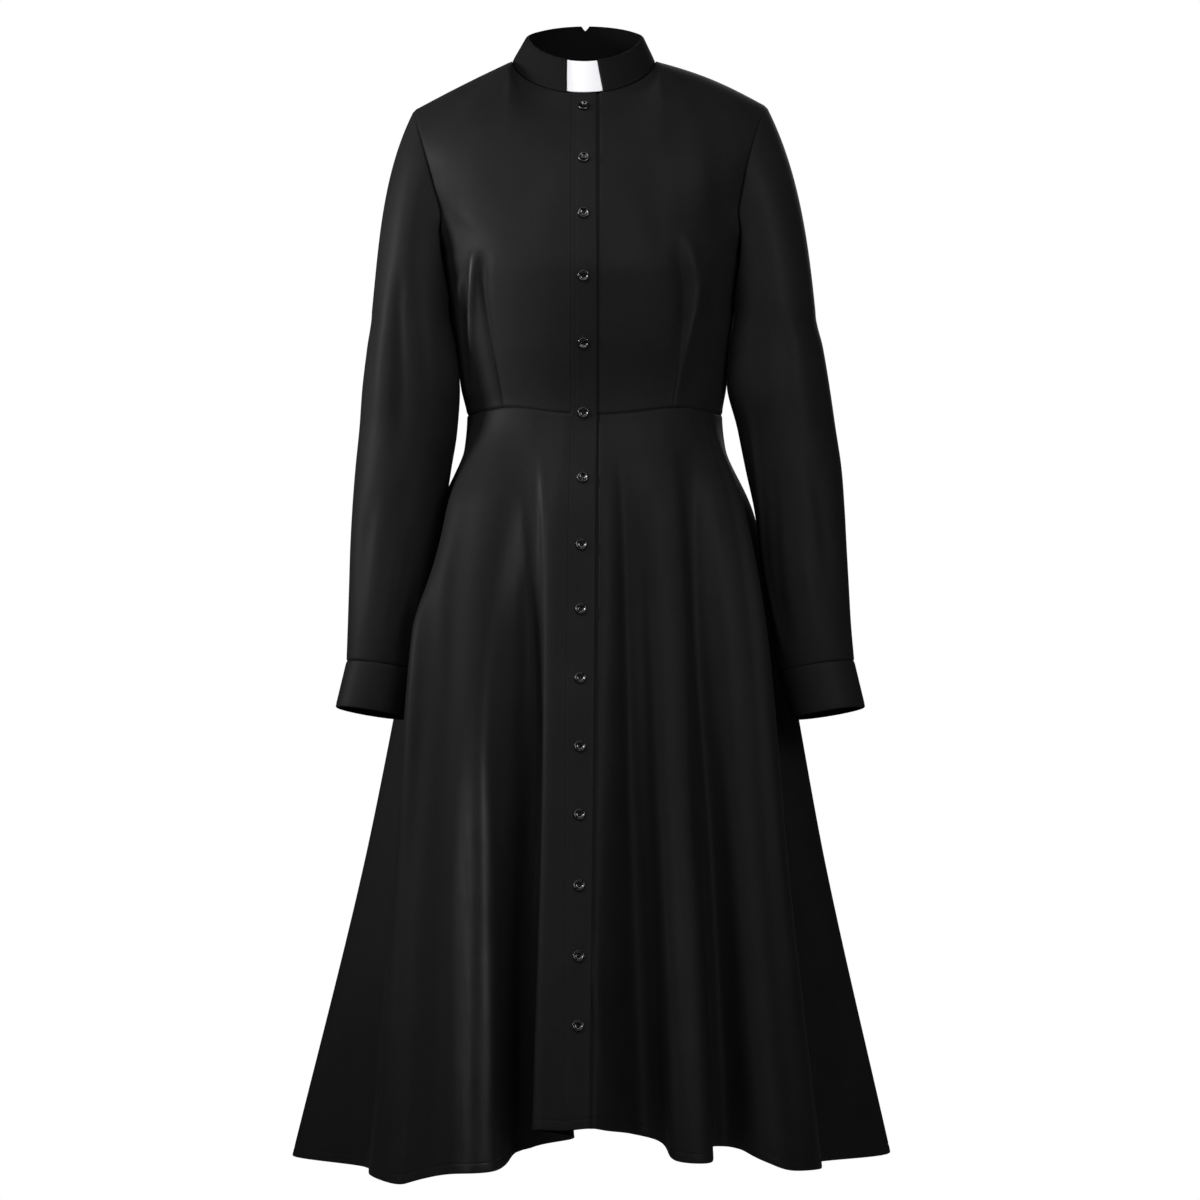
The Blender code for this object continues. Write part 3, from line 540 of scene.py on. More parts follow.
def relief_shift(grid, reliefs):
    """How far the cloth stands out for seams, stitched lines and folded edges."""
    total = np.zeros(grid.shape[:2])
    for relief in reliefs:
        away = (run_along(grid, relief.axis, relief.end) / MM - relief.place) / relief.width
        total += relief.depth * np.exp(-away**2)
    return total * MM


def placed(name, data):
    """A new object in the scene that shows a mesh, lamp or camera."""
    thing = bpy.data.objects.new(name, data)
    bpy.context.scene.collection.objects.link(thing)
    return thing


def evaluated_mesh(thing):
    """The mesh that an object's modifiers make."""
    graph = bpy.context.evaluated_depsgraph_get()
    return bpy.data.meshes.new_from_object(thing.evaluated_get(graph))


def closed_shell(name, outer, outward, thickness, around, ridge, matt):
    """A thin shell from its outer points, with a rounded rim where the outer and inner sides meet."""
    inner = outer - outward * thickness
    middle = (outer + inner) / 2

    def rim(edge, next_edge):
        """An edge moved on outward, away from the next row."""
        return edge + unit(edge - next_edge) * thickness * RIM_BULGE

    top, bottom = rim(middle[0], middle[1]), rim(middle[-1], middle[-2])
    skins = [np.concatenate((top[None], skin, bottom[None])) for skin in (outer, inner)]
    if not around:
        framed = np.concatenate((top[None], middle, bottom[None]))
        sides = rim(framed[:, 0], framed[:, 1])[:, None], rim(framed[:, -1], framed[:, -2])[:, None]
        skins = [np.concatenate((sides[0], skin, sides[1]), axis=1) for skin in skins]
    rows, columns = skins[0].shape[:2]
    ids = np.arange(rows * columns).reshape(rows, columns)
    lining = ids + rows * columns
    lining[0], lining[-1] = ids[0], ids[-1]
    if not around:
        lining[:, 0], lining[:, -1] = ids[:, 0], ids[:, -1]
    along = run_along(skins[0], 1, 0)
    down = run_along(skins[0], 0, 0)
    if around:
        close = np.linalg.norm(skins[0][:, :1] - skins[0][:, -1:], axis=-1)
        along = np.concatenate((along, along[:, -1:] + close), axis=1)
        down = np.concatenate((down, down[:, :1]), axis=1)
        ids = np.concatenate((ids, ids[:, :1]), axis=1)
        lining = np.concatenate((lining, lining[:, :1]), axis=1)
    along = along - along.mean(axis=1, keepdims=True)
    flat = np.stack((along, -down), axis=-1)

    def quads(grid, turned):
        """The grid's values at each quad's four corners."""
        order = ((0, 0), (0, 1), (1, 1), (1, 0))
        corners = [grid[r:grid.shape[0] - 1 + r, c:grid.shape[1] - 1 + c] for r, c in order]
        corners = np.stack(corners[::-1] if turned else corners, axis=2)
        return corners.reshape(-1, 4, *grid.shape[2:])

    steps = np.cross(outer[:-1, 1:] - outer[:-1, :-1], outer[1:, :-1] - outer[:-1, :-1])
    turned = bool(np.sum(steps * outward[:-1, :-1]) < 0)
    faces = np.concatenate((quads(ids, turned), quads(lining, not turned)))
    points = np.concatenate([skin.reshape(-1, 3) for skin in skins])
    uv = np.concatenate((quads(flat, turned), quads(flat, not turned)))
    # inside is 1 on the inner side and matt on the outer side: the finish makes these rougher and darkens
    # their colour with painted shade
    inside = np.repeat((matt, 1.0), len(faces) * 2)
    ridge = np.pad(ridge, ((1, 1), (0, 0) if around else (1, 1)), mode="edge")
    if around:
        ridge = np.concatenate((ridge, ridge[:, :1]), axis=1)
    ridge = np.concatenate((quads(ridge, turned), 0 * quads(ridge, turned)))
    used, faces = np.unique(faces, return_inverse=True)
    mesh = bpy.data.meshes.new(name)
    mesh.from_pydata(points[used].tolist(), [], faces.reshape(-1, 4).tolist())
    layer = mesh.uv_layers.new(name="cloth")
    layer.data.foreach_set("uv", uv.reshape(-1).astype(np.float32))
    for label, values in (("inside", inside), ("ridge", ridge)):
        layer = mesh.attributes.new(label, "FLOAT", "CORNER")
        layer.data.foreach_set("value", values.reshape(-1).astype(np.float32))
    mesh.shade_smooth()
    mesh.validate()
    return placed("cloth_" + name, mesh)


class Value:
    """A node's output: Python's signs on it add Math nodes to its tree."""

    def __init__(self, tree, socket):
        self.tree, self.socket = tree, socket

    def math(self, operation, first, second):
        """Adds a Math node."""
        return self.tree.node("ShaderNodeMath", 0, {"operation": operation}, {0: first, 1: second})

    def __add__(self, other):
        return self.math("ADD", self, other)

    def __sub__(self, other):
        return self.math("SUBTRACT", self, other)

    def __rsub__(self, other):
        return self.math("SUBTRACT", other, self)

    def __mul__(self, other):
        return self.math("MULTIPLY", self, other)

    __radd__ = __add__
    __rmul__ = __mul__


class Tree:
    """A node tree that is built one node at a time."""

    def __init__(self, tree):
        self.tree = tree

    def node(self, kind, output=0, settings=None, inputs=None):
        """Adds a node: its settings first, then the values or links of its sockets. Gives one output."""
        made = self.tree.nodes.new(kind)
        for name, value in (settings or {}).items():
            setattr(made, name, value)
        for name, value in (inputs or {}).items():
            self.feed(made.inputs[name], value)
        return Value(self, made.outputs[output])

    def feed(self, socket, value):
        """Links an output to a socket, or sets a plain value on it."""
        if isinstance(value, Value):
            self.tree.links.new(value.socket, socket)
        else:
            socket.default_value = value


class Finish(Tree):
    """A material whose look varies by its nodes. constants are set on the shader's own sockets.

    solid is a place in the object's own space.
    """

    def __init__(self, name, **constants):
        self.material = bpy.data.materials.new(name)
        self.material.use_nodes = True
        super().__init__(self.material.node_tree)
        self.solid = self.node("ShaderNodeTexCoord", "Object")
        self.shader = self.tree.nodes["Principled BSDF"]
        for socket, value in constants.items():
            self.shader.inputs[socket.replace("_", " ")].default_value = value

    def noise(self, vector, scale, detail=2.0, size=(1, 1, 1)):
        """Noise whose grain is 1 / scale, and longer along an axis whose size is below 1."""
        drawn = self.node("ShaderNodeMapping", inputs={"Vector": vector, "Scale": size})
        return self.node("ShaderNodeTexNoise", inputs={"Vector": drawn, "Scale": scale, "Detail": detail})

    def mix(self, share, first, second):
        """A colour between two."""
        settings = {"data_type": "RGBA"}
        return self.node("ShaderNodeMix", 2, settings, {0: share, 6: first, 7: second})

    def look(self, colour, roughness, height, strength, distance):
        """Feeds the shader what varies over the surface."""
        self.feed(self.shader.inputs["Base Color"], colour)
        self.feed(self.shader.inputs["Roughness"], roughness)
        inputs = {"Strength": strength, "Distance": distance, "Height": height}
        bump = self.node("ShaderNodeBump", inputs=inputs)
        self.feed(self.shader.inputs["Normal"], bump)
        return self.material


def tint(colour, share):
    """A colour made brighter or darker, with its alpha."""
    return (*(channel * share for channel in colour[:3]), 1.0)


def crepe_finish(name, cloth):
    """Satin-backed crepe: pebbled threads, slow changes of tone, a matt inside darkened with painted shade,
    and shinier taut ridges.
    """
    made = Finish(name, Sheen_Weight=cloth.sheen, Sheen_Roughness=0.45, Sheen_Tint=(0.88, 0.87, 0.92, 1.0),
                  Specular_IOR_Level=cloth.shine, Coat_Roughness=cloth.gloss_blur)
    flat = made.node("ShaderNodeUVMap", settings={"uv_map": "cloth"})
    inside, ridge = (made.node("ShaderNodeAttribute", "Fac", settings={"attribute_name": label})
                     for label in ("inside", "ridge"))
    threads = 1 / cloth.thread_pitch
    grain = made.noise(flat, scale=threads)
    warp = made.noise(flat, scale=threads, detail=1.0, size=(1.0, 0.05, 1.0))
    pebble = made.noise(flat, scale=threads * 0.3, size=(1.0, 0.7, 1.0))
    streak = made.noise(flat, scale=160.0, size=(1.0, 0.06, 1.0))
    blotch = made.noise(made.solid, scale=34.0, detail=3.0, size=(1.0, 1.0, 0.6))
    slow = made.noise(made.solid, scale=7.0, detail=3.0, size=(1.0, 1.0, 0.5))
    tone = (warp - 0.5) * 0.4 + (pebble - 0.5) * 0.7 + (slow - 0.5) * 0.5 + (blotch - 0.5) * 0.6 + 0.5
    # Painted shade: the inside attribute darkens the colour on the shell's inner side, and at a share on the
    # collar's outer side
    colour = made.mix(tone - inside, tint(cloth.colour, 0.66), tint(cloth.colour, 1.34))
    colour = made.mix(inside * 0.6, colour, tint(cloth.colour, 0.1))
    rough = cloth.roughness + (grain - 0.5) * 0.10 + (blotch - 0.5) * 0.16 + inside * 0.35 - ridge * 0.12
    satin = (streak + blotch) * cloth.gloss * (1 - inside) * (1 + ridge * cloth.ridge_gloss)
    made.feed(made.shader.inputs["Coat Weight"], satin)
    height = grain * 0.45 + warp * 0.25 + pebble * 0.3
    return made.look(colour, rough, height, strength=0.3, distance=cloth.thread_pitch * 0.4)


def thread_finish(name, sewing):
    """Matt spun thread, twisted along its run."""
    made = Finish(name, Sheen_Weight=0.02, Specular_IOR_Level=0.15)
    fibre = made.noise(made.solid, scale=5200.0)
    colour = made.mix(fibre, tint(sewing.colour, 0.7), tint(sewing.colour, 1.4))
    return made.look(colour, 0.5 + fibre * 0.2, fibre, strength=0.4, distance=0.08 * MM)


def button_finish(name, buttons):
    """Polished black resin with the faintest clouding and hairline wear."""
    made = Finish(name, Coat_Weight=0.35, Coat_Roughness=0.06, Specular_IOR_Level=0.6)
    cloud = made.noise(made.solid, scale=420.0, detail=3.0)
    scuff = made.noise(made.solid, scale=2600.0, size=(1.0, 1.0, 0.15))
    colour = made.mix(cloud, tint(buttons.colour, 0.8), tint(buttons.colour, 1.3))
    height = cloud * 0.7 + scuff * 0.3
    return made.look(colour, 0.05 + scuff * 0.13, height, strength=0.08, distance=0.1 * MM)


def tab_finish(name, cloth):
    """Smooth white plastic, very slightly uneven and satin."""
    made = Finish(name, Specular_IOR_Level=0.45)
    cloud = made.noise(made.solid, scale=60.0)
    grain = made.noise(made.solid, scale=1800.0)
    colour = made.mix(cloud, tint(cloth.tab_colour, 0.97), tint(cloth.tab_colour, 1.0))
    return made.look(colour, 0.30 + grain * 0.10, grain, strength=0.06, distance=0.1 * MM)


def finish_once(name, make, settings):
    """A finish by name, made the first time that a piece asks for it."""
    return bpy.data.materials.get(name) or make(name, settings)


# The flat cut of each cloth piece without its seam allowances: width, length and area, in metres
FLAT_CUTS = {
    "bodice_front_right": (0.24, 0.43, 0.072),
    "bodice_front_left": (0.27, 0.43, 0.085),
    "bodice_back": (0.45, 0.43, 0.154),
    "sleeve_right": (0.35, 0.60, 0.158),
    "sleeve_left": (0.35, 0.60, 0.161),
    "cuff_right": (0.23, 0.05, 0.0112),
    "cuff_left": (0.23, 0.05, 0.0112),
    "collar": (0.41, 0.036, 0.0126),
    "skirt_front_right": (0.54, 0.80, 0.260),
    "skirt_front_left": (0.55, 0.79, 0.280),
    "skirt_back": (1.26, 0.82, 0.632),
    "placket": (0.028, 1.075, 0.030),
}


def dressed(thing, finish, nodes):
    """Gives a piece its finish and its body, and hides the CAD nodes it stands for."""
    thing.data.materials.clear()
    thing.data.materials.append(finish)
    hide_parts(*nodes)
    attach(thing, "root")
    nodes and nodes[0] in FLAT_CUTS


# How far in from a seam the closer rows and columns lie, in mm
CLOSE = np.array((0.0, 0.5, 1.1, 1.9, 3.0, 4.6))

# Darts of the bodice, by height and x, seen from the front
RIGHT_DART = ((-100, -72), (-232, -110.8), (-366, -86.3))
LEFT_DART = ((-100, 74), (-262, 102.5), (-366, 87.0))
BACK_DARTS = (((-100, -70), (-215, -84), (-366, -74)), ((-100, 72), (-219, 88), (-366, 78)))

# Creases of the bodice: height, x, the half widths on both sides, and how far out
FRONT_RIGHT_CREASES = (
    ((-224, -133, 5, 4, 0), (-244, -132, 4.5, 3.6, 3.2), (-268, -130.5, 4.5, 3.4, 3.8),
     (-300, -128, 4.5, 3.4, 3.8), (-340, -124.5, 4.5, 4, 3.0), (-366, -122, 6, 5, 0.4)),
    ((-198, -116.5, 5, 6, 0), (-214, -117.5, 3.6, 4.4, 3.0), (-240, -118.6, 3, 3.4, 4.6),
     (-290, -120.2, 2.8, 3.4, 4.2), (-335, -118.6, 3.6, 4.6, 2.6), (-366, -115, 5, 7, 0.4)),
    ((-218, -125.5, 3, 3, 0), (-245, -125.5, 2.6, 2.4, -2.2), (-310, -124.5, 2.6, 2.4, -2.2),
     (-345, -122, 4, 4, 0)),
    ((-202, -108, 5, 8, 0), (-226, -108.5, 3.6, 6, -3.4), (-256, -106.5, 3.6, 5, -3.2),
     (-300, -99, 4, 5, -1.6), (-350, -89, 4, 5, -0.6), (-364, -87, 4, 5, 0)),
    ((-226, -112, 1.0, 1.0, 0), (-238, -110.5, 1.0, 1.0, -1.0), (-366, -86.3, 1.0, 1.0, -1.1)),
    ((-270, -112, 6, 4, 0), (-310, -104, 8, 4, 0.8), (-362, -94, 8, 4, 1.0), (-368, -93, 8, 4, 1.0)),
    ((-8, -82, 4, 4, 0), (-24, -84, 3, 3, -1.6), (-52, -89, 5, 5, 0)),
    ((-14, -75, 4, 4, 0), (-30, -70.5, 3, 3, -1.5), (-54, -64, 5, 5, 0)),
    ((-30, -104, 22, 24, 0), (-80, -108, 22, 24, 1.0), (-140, -112, 20, 20, 1.2), (-200, -116, 16, 16, 0)),
    ((-60, -52, 20, 20, 0), (-120, -58, 20, 22, -0.8), (-190, -64, 20, 22, -1.0), (-260, -62, 20, 20, 0)),
    ((-120, -164, 14, 16, 0), (-144, -150, 14, 16, 1.2), (-170, -124, 16, 18, 1.5),
     (-192, -98, 16, 18, 0.8), (-212, -76, 16, 18, 0)),
)
FRONT_LEFT_CREASES = (
    ((-192, 90, 9, 5, 0), (-216, 95, 8, 4, -2.6), (-240, 99, 7, 3.4, -3.4), (-270, 99.5, 7, 3.2, -3.0),
     (-300, 96, 7, 3.2, -1.6), (-325, 93, 7, 4, 0)),
    ((-182, 98, 6, 9, 0), (-200, 102.5, 4.5, 9, 2.2), (-236, 110.5, 3.8, 9, 3.4), (-262, 109, 3.4, 8, 3.6),
     (-285, 104.5, 3.2, 8, 3.2), (-312, 98.5, 3.2, 8, 2.4), (-350, 91.5, 3.5, 8, 1.4),
     (-368, 88, 4, 8, 0.4)),
    ((-262, 102, 1.0, 1.0, 0), (-278, 100.5, 1.0, 1.0, -0.9), (-366, 87, 1.0, 1.0, -1.1)),
    ((-40, 110, 18, 16, 0), (-90, 114, 18, 15, 1.8), (-150, 116, 16, 13, 2.0), (-205, 122, 12, 12, 0)),
    ((-70, 60, 16, 14, 0), (-130, 66, 18, 14, -1.6), (-190, 72, 16, 12, -1.2), (-225, 76, 14, 12, 0)),
    ((-200, 134, 8, 8, 0), (-240, 132, 7, 8, -2.0), (-300, 127, 7, 8, -1.8), (-350, 122, 7, 7, 0)),
)
BACK_CREASES = (
    ((-205, -84, 0.9, 0.9, 0), (-225, -84, 0.9, 0.9, -0.5), (-366, -74, 0.9, 0.9, -0.7)),
    ((-209, 88, 0.9, 0.9, 0), (-229, 88, 0.9, 0.9, -0.5), (-366, 78, 0.9, 0.9, -0.7)),
    ((-190, -92, 8, 6, 0), (-230, -93, 7, 5, 1.5), (-300, -90, 7, 6, 1.2), (-355, -82, 7, 7, 0)),
    ((-200, 96, 6, 9, 0), (-245, 98, 5, 8, 1.7), (-310, 92, 5, 8, 1.1), (-358, 86, 6, 7, 0)),
    ((-12, 70, 5, 5, 0), (-34, 76, 4, 4, -0.9), (-66, 84, 6, 6, 0)),
    ((-10, -66, 5, 5, 0), (-30, -70, 4, 4, -0.8), (-60, -74, 6, 6, 0)),
    ((-110, -128, 10, 14, 0), (-150, -122, 8, 14, 1.4), (-200, -124, 8, 12, 0)),
    ((-105, 132, 14, 10, 0), (-152, 126, 14, 8, 1.6), (-205, 128, 12, 8, 0)),
)

# Creases of the sleeves, whose places are degrees round the arm from its outside, over the front
RIGHT_SLEEVE_CREASES = (
    ((-205, 74, 12, 12, 0), (-250, 78, 11, 12, -3.0), (-340, 82, 11, 13, -4.6), (-390, 84, 13, 15, -2.6),
     (-440, 86, 14, 16, 0)),
    ((-240, 112, 14, 12, 0), (-300, 110, 13, 11, 1.8), (-390, 108, 16, 14, 0)),
    ((-220, 50, 12, 12, 0), (-300, 52, 12, 11, 1.6), (-400, 54, 14, 12, 0)),
    ((-430, 60, 16, 14, 0), (-500, 52, 14, 11, -2.4), (-600, 46, 18, 14, 0)),
    ((-440, 104, 14, 12, 0), (-520, 98, 12, 9, 2.2), (-620, 92, 14, 12, 0.6), (-632, 92, 14, 12, 0)),
    ((-500, 128, 10, 10, 0), (-570, 124, 9, 9, -2.0), (-626, 120, 10, 10, 0)),
    ((-260, 262, 14, 14, 0), (-330, 256, 14, 12, -3.0), (-420, 250, 16, 14, 0)),
    ((-400, 296, 14, 14, 0), (-470, 288, 14, 12, 2.4), (-560, 280, 14, 14, 0)),
    ((-255, 180, 14, 14, 0), (-275, 180, 14, 14, 1.6), (-305, 180, 14, 14, 1.6), (-330, 180, 14, 14, 0)),
    ((-262, 180, 1.2, 1.2, -0.5), (-500, 180, 1.2, 1.2, -0.5), (-632, 180, 1.2, 1.2, -0.5)),
)
LEFT_SLEEVE_CREASES = (
    ((-330, 128, 6, 9, 0), (-393, 136, 4.5, 8, 2.2), (-457, 149, 4, 7, 3.2), (-531, 156, 4, 7, 3.0),
     (-594, 148, 5, 8, 1.8), (-625, 144, 7, 9, 0)),
    ((-390, 116, 9, 9, 0), (-460, 126, 9, 9, -1.8), (-560, 134, 9, 9, -1.8), (-620, 126, 10, 10, 0)),
    ((-250, 88, 14, 12, 0), (-310, 84, 12, 12, -2.8), (-390, 88, 13, 13, -1.2), (-430, 90, 14, 14, 0)),
    ((-400, 70, 16, 12, 0), (-480, 64, 14, 11, -2.4), (-585, 58, 18, 14, 0)),
    ((-480, 96, 12, 12, 0), (-550, 92, 11, 10, 1.8), (-625, 86, 13, 12, 0)),
    ((-255, 264, 14, 14, 0), (-320, 258, 14, 12, -2.8), (-410, 254, 16, 14, 0)),
    ((-420, 290, 14, 14, 0), (-490, 284, 14, 12, 2.4), (-570, 276, 14, 14, 0)),
    ((-262, 180, 1.2, 1.2, -0.5), (-500, 180, 1.2, 1.2, -0.5), (-632, 180, 1.2, 1.2, -0.5)),
)

# Creases of the skirt, by x again: ridges and troughs of its front, then of its back
SKIRT_RIGHT_CREASES = (
    ((-376, -66, 30, 22, 0), (-430, -68, 30, 22, 2.0), (-500, -72, 30, 22, 3.0), (-600, -76, 30, 20, 2.0),
     (-720, -78, 26, 16, 0)),
    ((-440, -156, 5, 8, 0), (-520, -170, 5, 9, 1.5), (-700, -184, 5, 10, 2.5), (-900, -199, 6, 12, 3.0),
     (-1120, -211, 7, 12, 2.5), (-1180, -214, 7, 12, 2.0)),
    ((-620, -168, 8, 12, 0), (-730, -174, 8, 12, -3.0), (-860, -183, 9, 12, -4.0),
     (-990, -184, 9, 12, -2.0), (-1110, -184, 9, 12, 0)),
    ((-480, -136, 12, 8, 0), (-540, -145, 10, 7, 1.4), (-620, -147, 10, 7, 1.2), (-700, -148, 10, 8, 0)),
    ((-500, -94, 20, 14, 0), (-600, -104, 22, 14, 1.2), (-700, -109, 26, 14, 3.0),
     (-860, -104, 30, 13, 6.0), (-1110, -99, 32, 14, 7.0), (-1180, -99, 32, 14, 6.0)),
    ((-520, -60, 9, 5, 0), (-600, -56, 10, 5, -3.0), (-720, -55, 12, 5, -5.0), (-900, -62, 14, 4.5, -8.0),
     (-1110, -62, 15, 4, -10.0), (-1180, -62, 15, 4, -9.0)),
    ((-400, -47, 4, 6, 0), (-440, -46.5, 3, 6, 1.6), (-490, -44.5, 3, 7, 1.4), (-580, -42, 6, 9, 0.5),
     (-1000, -50, 6, 9, 0.6), (-1180, -53, 6, 9, 0.6)),
)
SKIRT_LEFT_CREASES = (
    ((-376, 52, 16, 18, 0), (-430, 54, 16, 18, 2.0), (-500, 58, 14, 18, 2.0), (-570, 60, 12, 18, 0)),
    ((-400, 118, 12, 18, 0), (-450, 120, 12, 18, 2.0), (-540, 124, 12, 18, 0)),
    ((-400, 32, 6, 6, 0), (-450, 35, 6, 6, -1.8), (-620, 42, 7, 6, -4.5), (-760, 46, 9, 7, -6.5),
     (-1000, 55, 12, 9, -7.0), (-1180, 62, 14, 10, -6.0)),
    ((-390, 84, 9, 5, 0), (-430, 88, 9, 4, 1.2), (-560, 96, 12, 4, 1.8), (-760, 101, 14, 4, 2.2),
     (-940, 111, 16, 4.5, 2.4), (-1180, 122, 16, 5, 2.4)),
    ((-410, 98, 4, 7, 0), (-480, 103, 4, 8, -2.4), (-620, 112, 4, 10, -5.0), (-800, 124, 4.5, 13, -9.0),
     (-1180, 140, 5, 16, -10.0)),
    ((-600, 176, 12, 5, 0), (-720, 186, 12, 5, 2.0), (-900, 203, 13, 5, 3.0), (-1180, 234, 14, 6, 3.0)),
    ((-640, 70, 14, 16, 0), (-760, 74, 14, 18, 2.0), (-980, 84, 15, 20, 2.2), (-1150, 92, 16, 20, 2.0)),
    ((-880, -1, 2, 9, 0), (-930, 4, 2, 9, 1.2), (-1000, 12, 3, 10, 1.5), (-1060, 20, 4, 10, 0)),
)
SKIRT_BACK_CREASES = (
    ((-390, -60, 12, 16, 0), (-520, -72, 12, 16, 3.0), (-760, -84, 13, 18, 3.6), (-1000, -96, 15, 20, 2.4),
     (-1180, -104, 16, 20, 0)),
    ((-440, 22, 9, 8, 0), (-600, 26, 10, 8, -3.0), (-820, 34, 12, 9, -4.4), (-1180, 46, 14, 10, -4.0)),
    ((-400, 76, 8, 12, 0), (-560, 90, 8, 12, 2.6), (-800, 110, 9, 14, 3.6), (-1180, 134, 11, 17, 3.0)),
    ((-500, -128, 7, 10, 0), (-700, -154, 7, 11, -3.2), (-900, -176, 8, 12, -4.4),
     (-1180, -208, 10, 14, -3.0)),
    ((-540, 148, 11, 7, 0), (-760, 180, 11, 7, 2.4), (-960, 206, 12, 8, 3.4), (-1180, 232, 13, 9, 3.0)),
    ((-700, -20, 6, 9, 0), (-860, -25, 6, 9, 2.0), (-1040, -34, 7, 11, 2.6), (-1150, -40, 7, 11, 0)),
)

# Rows or columns of each run of cloth, and the run's length in mm
LOW_BODICE_RUN = (46, 164)
SHOULDER_RUN = (40, 112)
RIGHT_FRONT_RUNS = ((26, 75), (30, 85))
LEFT_FRONT_RUNS = ((26, 75), (28, 80))
BACK_RUNS = ((24, 80), (52, 160), (24, 80))
SLEEVE_ROUND_RUN = (60, 140)
SLEEVE_HEAD_RUN = (34, 200)
SLEEVE_ARM_RUN = (90, 371)
CUFF_RUN = (16, 47)
COLLAR_RUN = (16, 34)
COLLAR_SIDE_RUN = (96, 210)
TAB_UP_RUN = (12, 32)
TAB_ACROSS_RUN = (24, 46)
SKIRT_RUN = (132, 760)
PLACKET_RUN = (12, 26)

# Rows or columns of the other runs, then the columns of one fold and its rough width in mm
ARMHOLE_ROWS = 24
CHEST_ROWS = 16
UNDERLAP_COLUMNS = 22
SKIRT_UNDERLAP_COLUMNS = 30
CUFF_COLUMNS = 150
NOTCH_COLUMNS = 17
FOLD_COLUMNS = 9
FOLD_LENGTH = 40

# The edge of a sleeve that is turned in at the armhole
SEAM_ALLOWANCE = 2.0 * MM

# Lines of stitches, in mm in from an edge, and the share of a cuff's edge that shows them
HEM_STITCH = 9.0
HEM_ROWS = (6.8, 7.8, 8.5, 9.0, 9.5, 10.2, 11.4)
PLACKET_STITCH = 4.6
COLLAR_STITCH = 2.6
CUFF_STITCH = 1.8
CUFF_STITCHED = 0.56

# Folded edges and pressed lines of stitches
CUFF_RELIEFS = (Relief(0, 0, CUFF_STITCH, 0.7, -0.22), Relief(0, 1, CUFF_STITCH, 0.7, -0.22),
                Relief(0, 1, 0.0, 0.9, -0.35), Relief(0, 0, 0.0, 0.9, -0.45))
COLLAR_RELIEFS = (Relief(0, 1, 0.0, 1.0, -0.5), Relief(0, 0, 0.0, 0.8, -0.4),
                  Relief(1, 0, 0.0, 0.9, -0.5), Relief(1, 1, 0.0, 0.9, -0.5),
                  Relief(0, 0, COLLAR_STITCH, 0.7, -0.28), Relief(1, 0, COLLAR_STITCH, 0.7, -0.28),
                  Relief(1, 1, COLLAR_STITCH, 0.7, -0.28))
TAB_RELIEFS = (Relief(0, 1, 0.0, 0.6, -0.25),)
HEM_RELIEFS = [Relief(0, 1, HEM_STITCH, 0.8, -0.3), Relief(0, 1, 0.0, 1.0, -0.3)]
PLACKET_RELIEFS = (Relief(1, 0, 0.0, 0.8, -0.3), Relief(1, 0, PLACKET_STITCH, 0.7, -0.28),
                   Relief(1, 1, 0.0, 0.8, -0.35), Relief(0, 1, HEM_STITCH, 0.8, -0.3),
                   Relief(0, 0, 0.0, 0.9, -0.4))

# The left front's part under the placket, in metres on the bodice and in folds on the skirt
UNDERLAP_START = 4 * MM
UNDERLAP_FADE = UNDERLAP_STEP - 1 * MM
SKIRT_UNDERLAP = 0.3
SKIRT_UNDERLAP_FADE = 0.25
SKIRT_GAP = 0.008

# The cuff's under layer, in degrees round the arm: where it begins to sink, and the edge of the upper one
CUFF_UNDER = 150
CUFF_UNDER_FADE = 50
CUFF_EDGE = 206
CUFF_EDGE_STEP = 2
CUFF_UNDER_SINK = 1.1 * MM

# Parts of the skirt's front where the folds are eased, from one x to another
RIGHT_EASE = (-178 * MM, -66 * MM)
LEFT_EASE = (50 * MM, 112 * MM)
EASE_FADE = 22 * MM
EASE_PASSES = 60
EASE_SHARE = 0.5

# How matt the stiffened collar is, and how far its colour is darkened with painted shade, as a share of the
# cloth's inside
COLLAR_MATT_AND_SHADE = 0.4

# How far a ridge stands out where it begins to shine, and where it shines fully
LOOSE_RIDGE = 1.8 * MM
TAUT_RIDGE = 4.8 * MM

# Each made panel's outer points and their normals, which the stitches follow
SEWN = {}


def steps(run, first=True, last=True):
    """Shares from 0 to 1, closer near an end that is a seam. run is their count and its length in mm."""
    count, length = run
    near = CLOSE / length
    middle = np.linspace(near[-1] if first else 0.0, 1 - near[-1] if last else 1.0, count)
    before = near[:-1] if first else []
    after = (1 - near[:-1])[::-1] if last else []
    return np.concatenate((before, middle, after))


def between(anchors, runs):
    """Places across a panel on every row: anchors are its edges and lines, with a run of shares between."""
    rows = max(np.size(anchor) for anchor in anchors)
    lines = [np.broadcast_to(np.asarray(anchor, float), (rows,))[:, None] for anchor in anchors]
    parts = [part_way(lines[index], lines[index + 1], shares) for index, shares in enumerate(runs)]
    return np.concatenate(parts[:1] + [part[:, 1:] for part in parts[1:]], axis=1)


def bodice_climbs():
    """The bodice's rows: up to the underarm, round the armhole's foot, to the chest and over the shoulder."""
    low = part_way(WAIST, UNDERARM, steps(LOW_BODICE_RUN, last=False))
    arc = armhole_climb(np.linspace(0, UNDERARM_STEPS, ARMHOLE_ROWS))
    high = np.linspace(ARMHOLE, CHEST, CHEST_ROWS)
    crown = CHEST + CROWN * steps(SHOULDER_RUN, first=False)
    return np.concatenate((low, arc[1:], high[1:], crown[1:]))


def dart_places(climbs, dart, back=False):
    """Where across the bodice a dart's line runs, on up to the neck."""
    heights = [height * MM for height, _ in dart]
    drop = np.clip(-climbs, -heights[0], -heights[-1])
    x = through([-height for height in heights], [x for _, x in dart], drop)[:, 0] * MM
    return place_at(np.minimum(climbs, CHEST), x, back)


